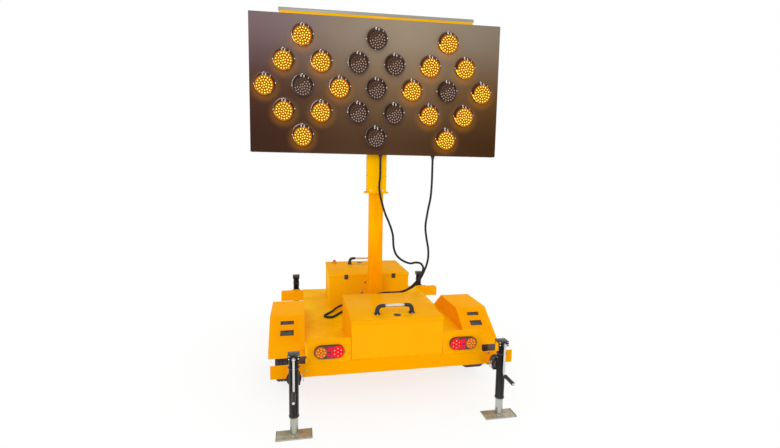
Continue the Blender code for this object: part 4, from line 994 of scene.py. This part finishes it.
# ---- jacks
def make_jacks():
    for end, face, away in (("rear", REAR_FACE_Y, -1), ("front", FRONT_FACE_Y, 1)):
        for side, label in SIDES:
            name = f"jack_{end}_{label}"
            place = TRAILER @ Matrix.Translation((side * JACK_X, face + away * JACK_OFFSET, JACK_PIVOT_Z))
            out = side
            if away > 0:
                place = place @ Matrix.Rotation(pi, 4, "Z")
                out = -side
            dress(name + "_tube", BLACK_PAINT, 0.0015)
            dress(name + "_leg", ZINC, 0.0015)

            top, crank = JACK_TOP - JACK_PIVOT_Z, CRANK_Z - JACK_PIVOT_Z
            low = JACK_TUBE_BOTTOM - JACK_PIVOT_Z
            trim = Piece(name + "_cap", place)
            trim.box((-0.0425, -0.0395, top - 0.0145), (0.0425, 0.0395, top + 0.0018), BLACK_PAINT)
            for x in (-0.033, 0.033):
                trim.ball((x, -0.0393, top - 0.026), 0.0055, CHROME, 10, 0.6)
                trim.ball((x, -0.0393, top - 0.0065), 0.0042, CHROME, 10, 0.6)
            trim.lathe([(0.0352, 0), (0.0375, 0.001), (0.0375, 0.012), (0.0352, 0.013)], (0, 0, low), UP,
                BLACK_PAINT, 32)
            trim.lathe([(0.0352, 0), (0.0405, 0.002), (0.0405, 0.008), (0.0352, 0.01)], (0, 0, 0.1), UP,
                BLACK_PAINT, 32)
            trim.rod((0, -0.036, crank), (0, -0.0415, crank), 0.022, BLACK_PAINT, sides=24, soft=0.001)
            trim.rod((-0.0355, -0.01, 0.075), (-0.0425, -0.01, 0.075), 0.004, ZINC, sides=10)
            trim.done(name)

            if name == "jack_rear_right":
                tag = Piece(name + "_guide", place)
                tag.box((-0.07, -0.033, top - 0.074), (-0.042, -0.029, top - 0.01), YELLOW)
                tag.box((-0.0455, -0.033, top - 0.036), (-0.0415, 0.02, top - 0.01), YELLOW)
                tag.done(name)

            pin = Piece(name + "_pull_pin", place)
            reach = -out
            pin.rod((reach * 0.03, 0.055, 0.01), (reach * 0.066, 0.055, 0.01), 0.008, ZINC, sides=16,
                soft=0.001)
            ring = [(reach * 0.07, 0.055 + 0.019 * cos(a), 0.012 - 0.019 + 0.019 * sin(a) * 1.15)
                for a in (2 * pi * k / 26 for k in range(25))]
            pin.tube(ring, 0.0022, ZINC, 8)
            pin.box((reach * 0.036 - 0.01, 0.036, -0.052), (reach * 0.036 + 0.01, 0.075, 0.04), BLACK_PAINT)
            pin.rod((0, 0.044, -0.004), (0, 0.054, -0.004), 0.055, BLACK_PAINT, sides=40, soft=0.0015)
            pin.done(name)

            plate = Piece(name + "_bracket")
            x = side * JACK_X
            near, far = sorted((face + away * 0.0004, face + away * 0.012))
            plate.box((x - 0.055, near, 0.362), (x + 0.055, far, 0.478), YELLOW)
            for dx in (-0.044, 0.044):
                for z in (0.374, 0.466):
                    plate.hex_head((x + dx, face + away * 0.012, z), (0, away, 0), 0.011, 0.008, ZINC)
            plate.done("chassis")

            foot = Piece(name + "_foot_weld", place)
            base = -JACK_PIVOT_Z + 0.01
            foot.lathe([(0.0295, 0.0), (0.0365, 0.0005), (0.0345, 0.0045), (0.0295, 0.0075)], (0, 0, base),
                UP, WORN_ZINC, 28)
            for sx in (-1, 1):
                x0, x1 = sorted((sx * (FOOT_X / 2 - 0.0005), sx * (FOOT_X / 2 - 0.006)))
                foot.box((x0, 0.0005 - FOOT_Y / 2, base - 0.004), (x1, FOOT_Y / 2 - 0.0005, base + 0.004),
                    WORN_ZINC)
            foot.box((0.0005 - FOOT_X / 2, 0.0005 - FOOT_Y / 2, base - 0.0015),
                (FOOT_X / 2 - 0.0005, FOOT_Y / 2 - 0.0005, base + 0.0008), WORN_ZINC)
            foot.done(name + "_leg")

            handle = Piece(name + "_crank_arm", place)
            shaft = -0.046 - GAP
            arm = shaft - 0.01
            tip = crank - CRANK_ARM
            handle.rod((0, shaft - 0.0005, crank), (0, arm - 0.009, crank), 0.013, ZINC, sides=24,
                soft=0.0015)
            handle.rod((0, arm - 0.009, crank), (0, arm - 0.013, crank), 0.007, CHROME, sides=6)
            route = [(0, arm, crank + 0.006), (0, arm, crank - 0.06), (0, arm, crank - 0.14),
                (0, arm, tip + 0.03), (0, arm - 0.004, tip + 0.008), (0, arm - 0.018, tip),
                (0, arm - 0.045, tip)]
            handle.tube(smooth_line(route, 0.008), 0.0078, GRIP_SILVER, 14)
            grip_end = arm - CRANK_GRIP
            handle.lathe([(0.0, 0.0), (0.012, 0.0), (0.0155, 0.003), (0.0155, 0.022), (0.0145, 0.03),
                (0.0145, 0.105), (0.0158, 0.116), (0.0158, 0.125), (0.0135, 0.131), (0.0, 0.131)],
                (0, arm - 0.028, tip), REARWARD, PLASTIC, 24)
            handle.lathe([(0.0, 0.0), (0.0095, 0.0), (0.0095, 0.004), (0.0, 0.0055)],
                (0, grip_end + 0.0058, tip), REARWARD, GRIP_SILVER, 16)
            handle.done(name + "_crank", (name + "_crank",), "zinc")


make_cables()
make_lamps()
make_board()
make_boxes()
make_chassis()
make_tail_lights()
make_wheels()
make_jacks()
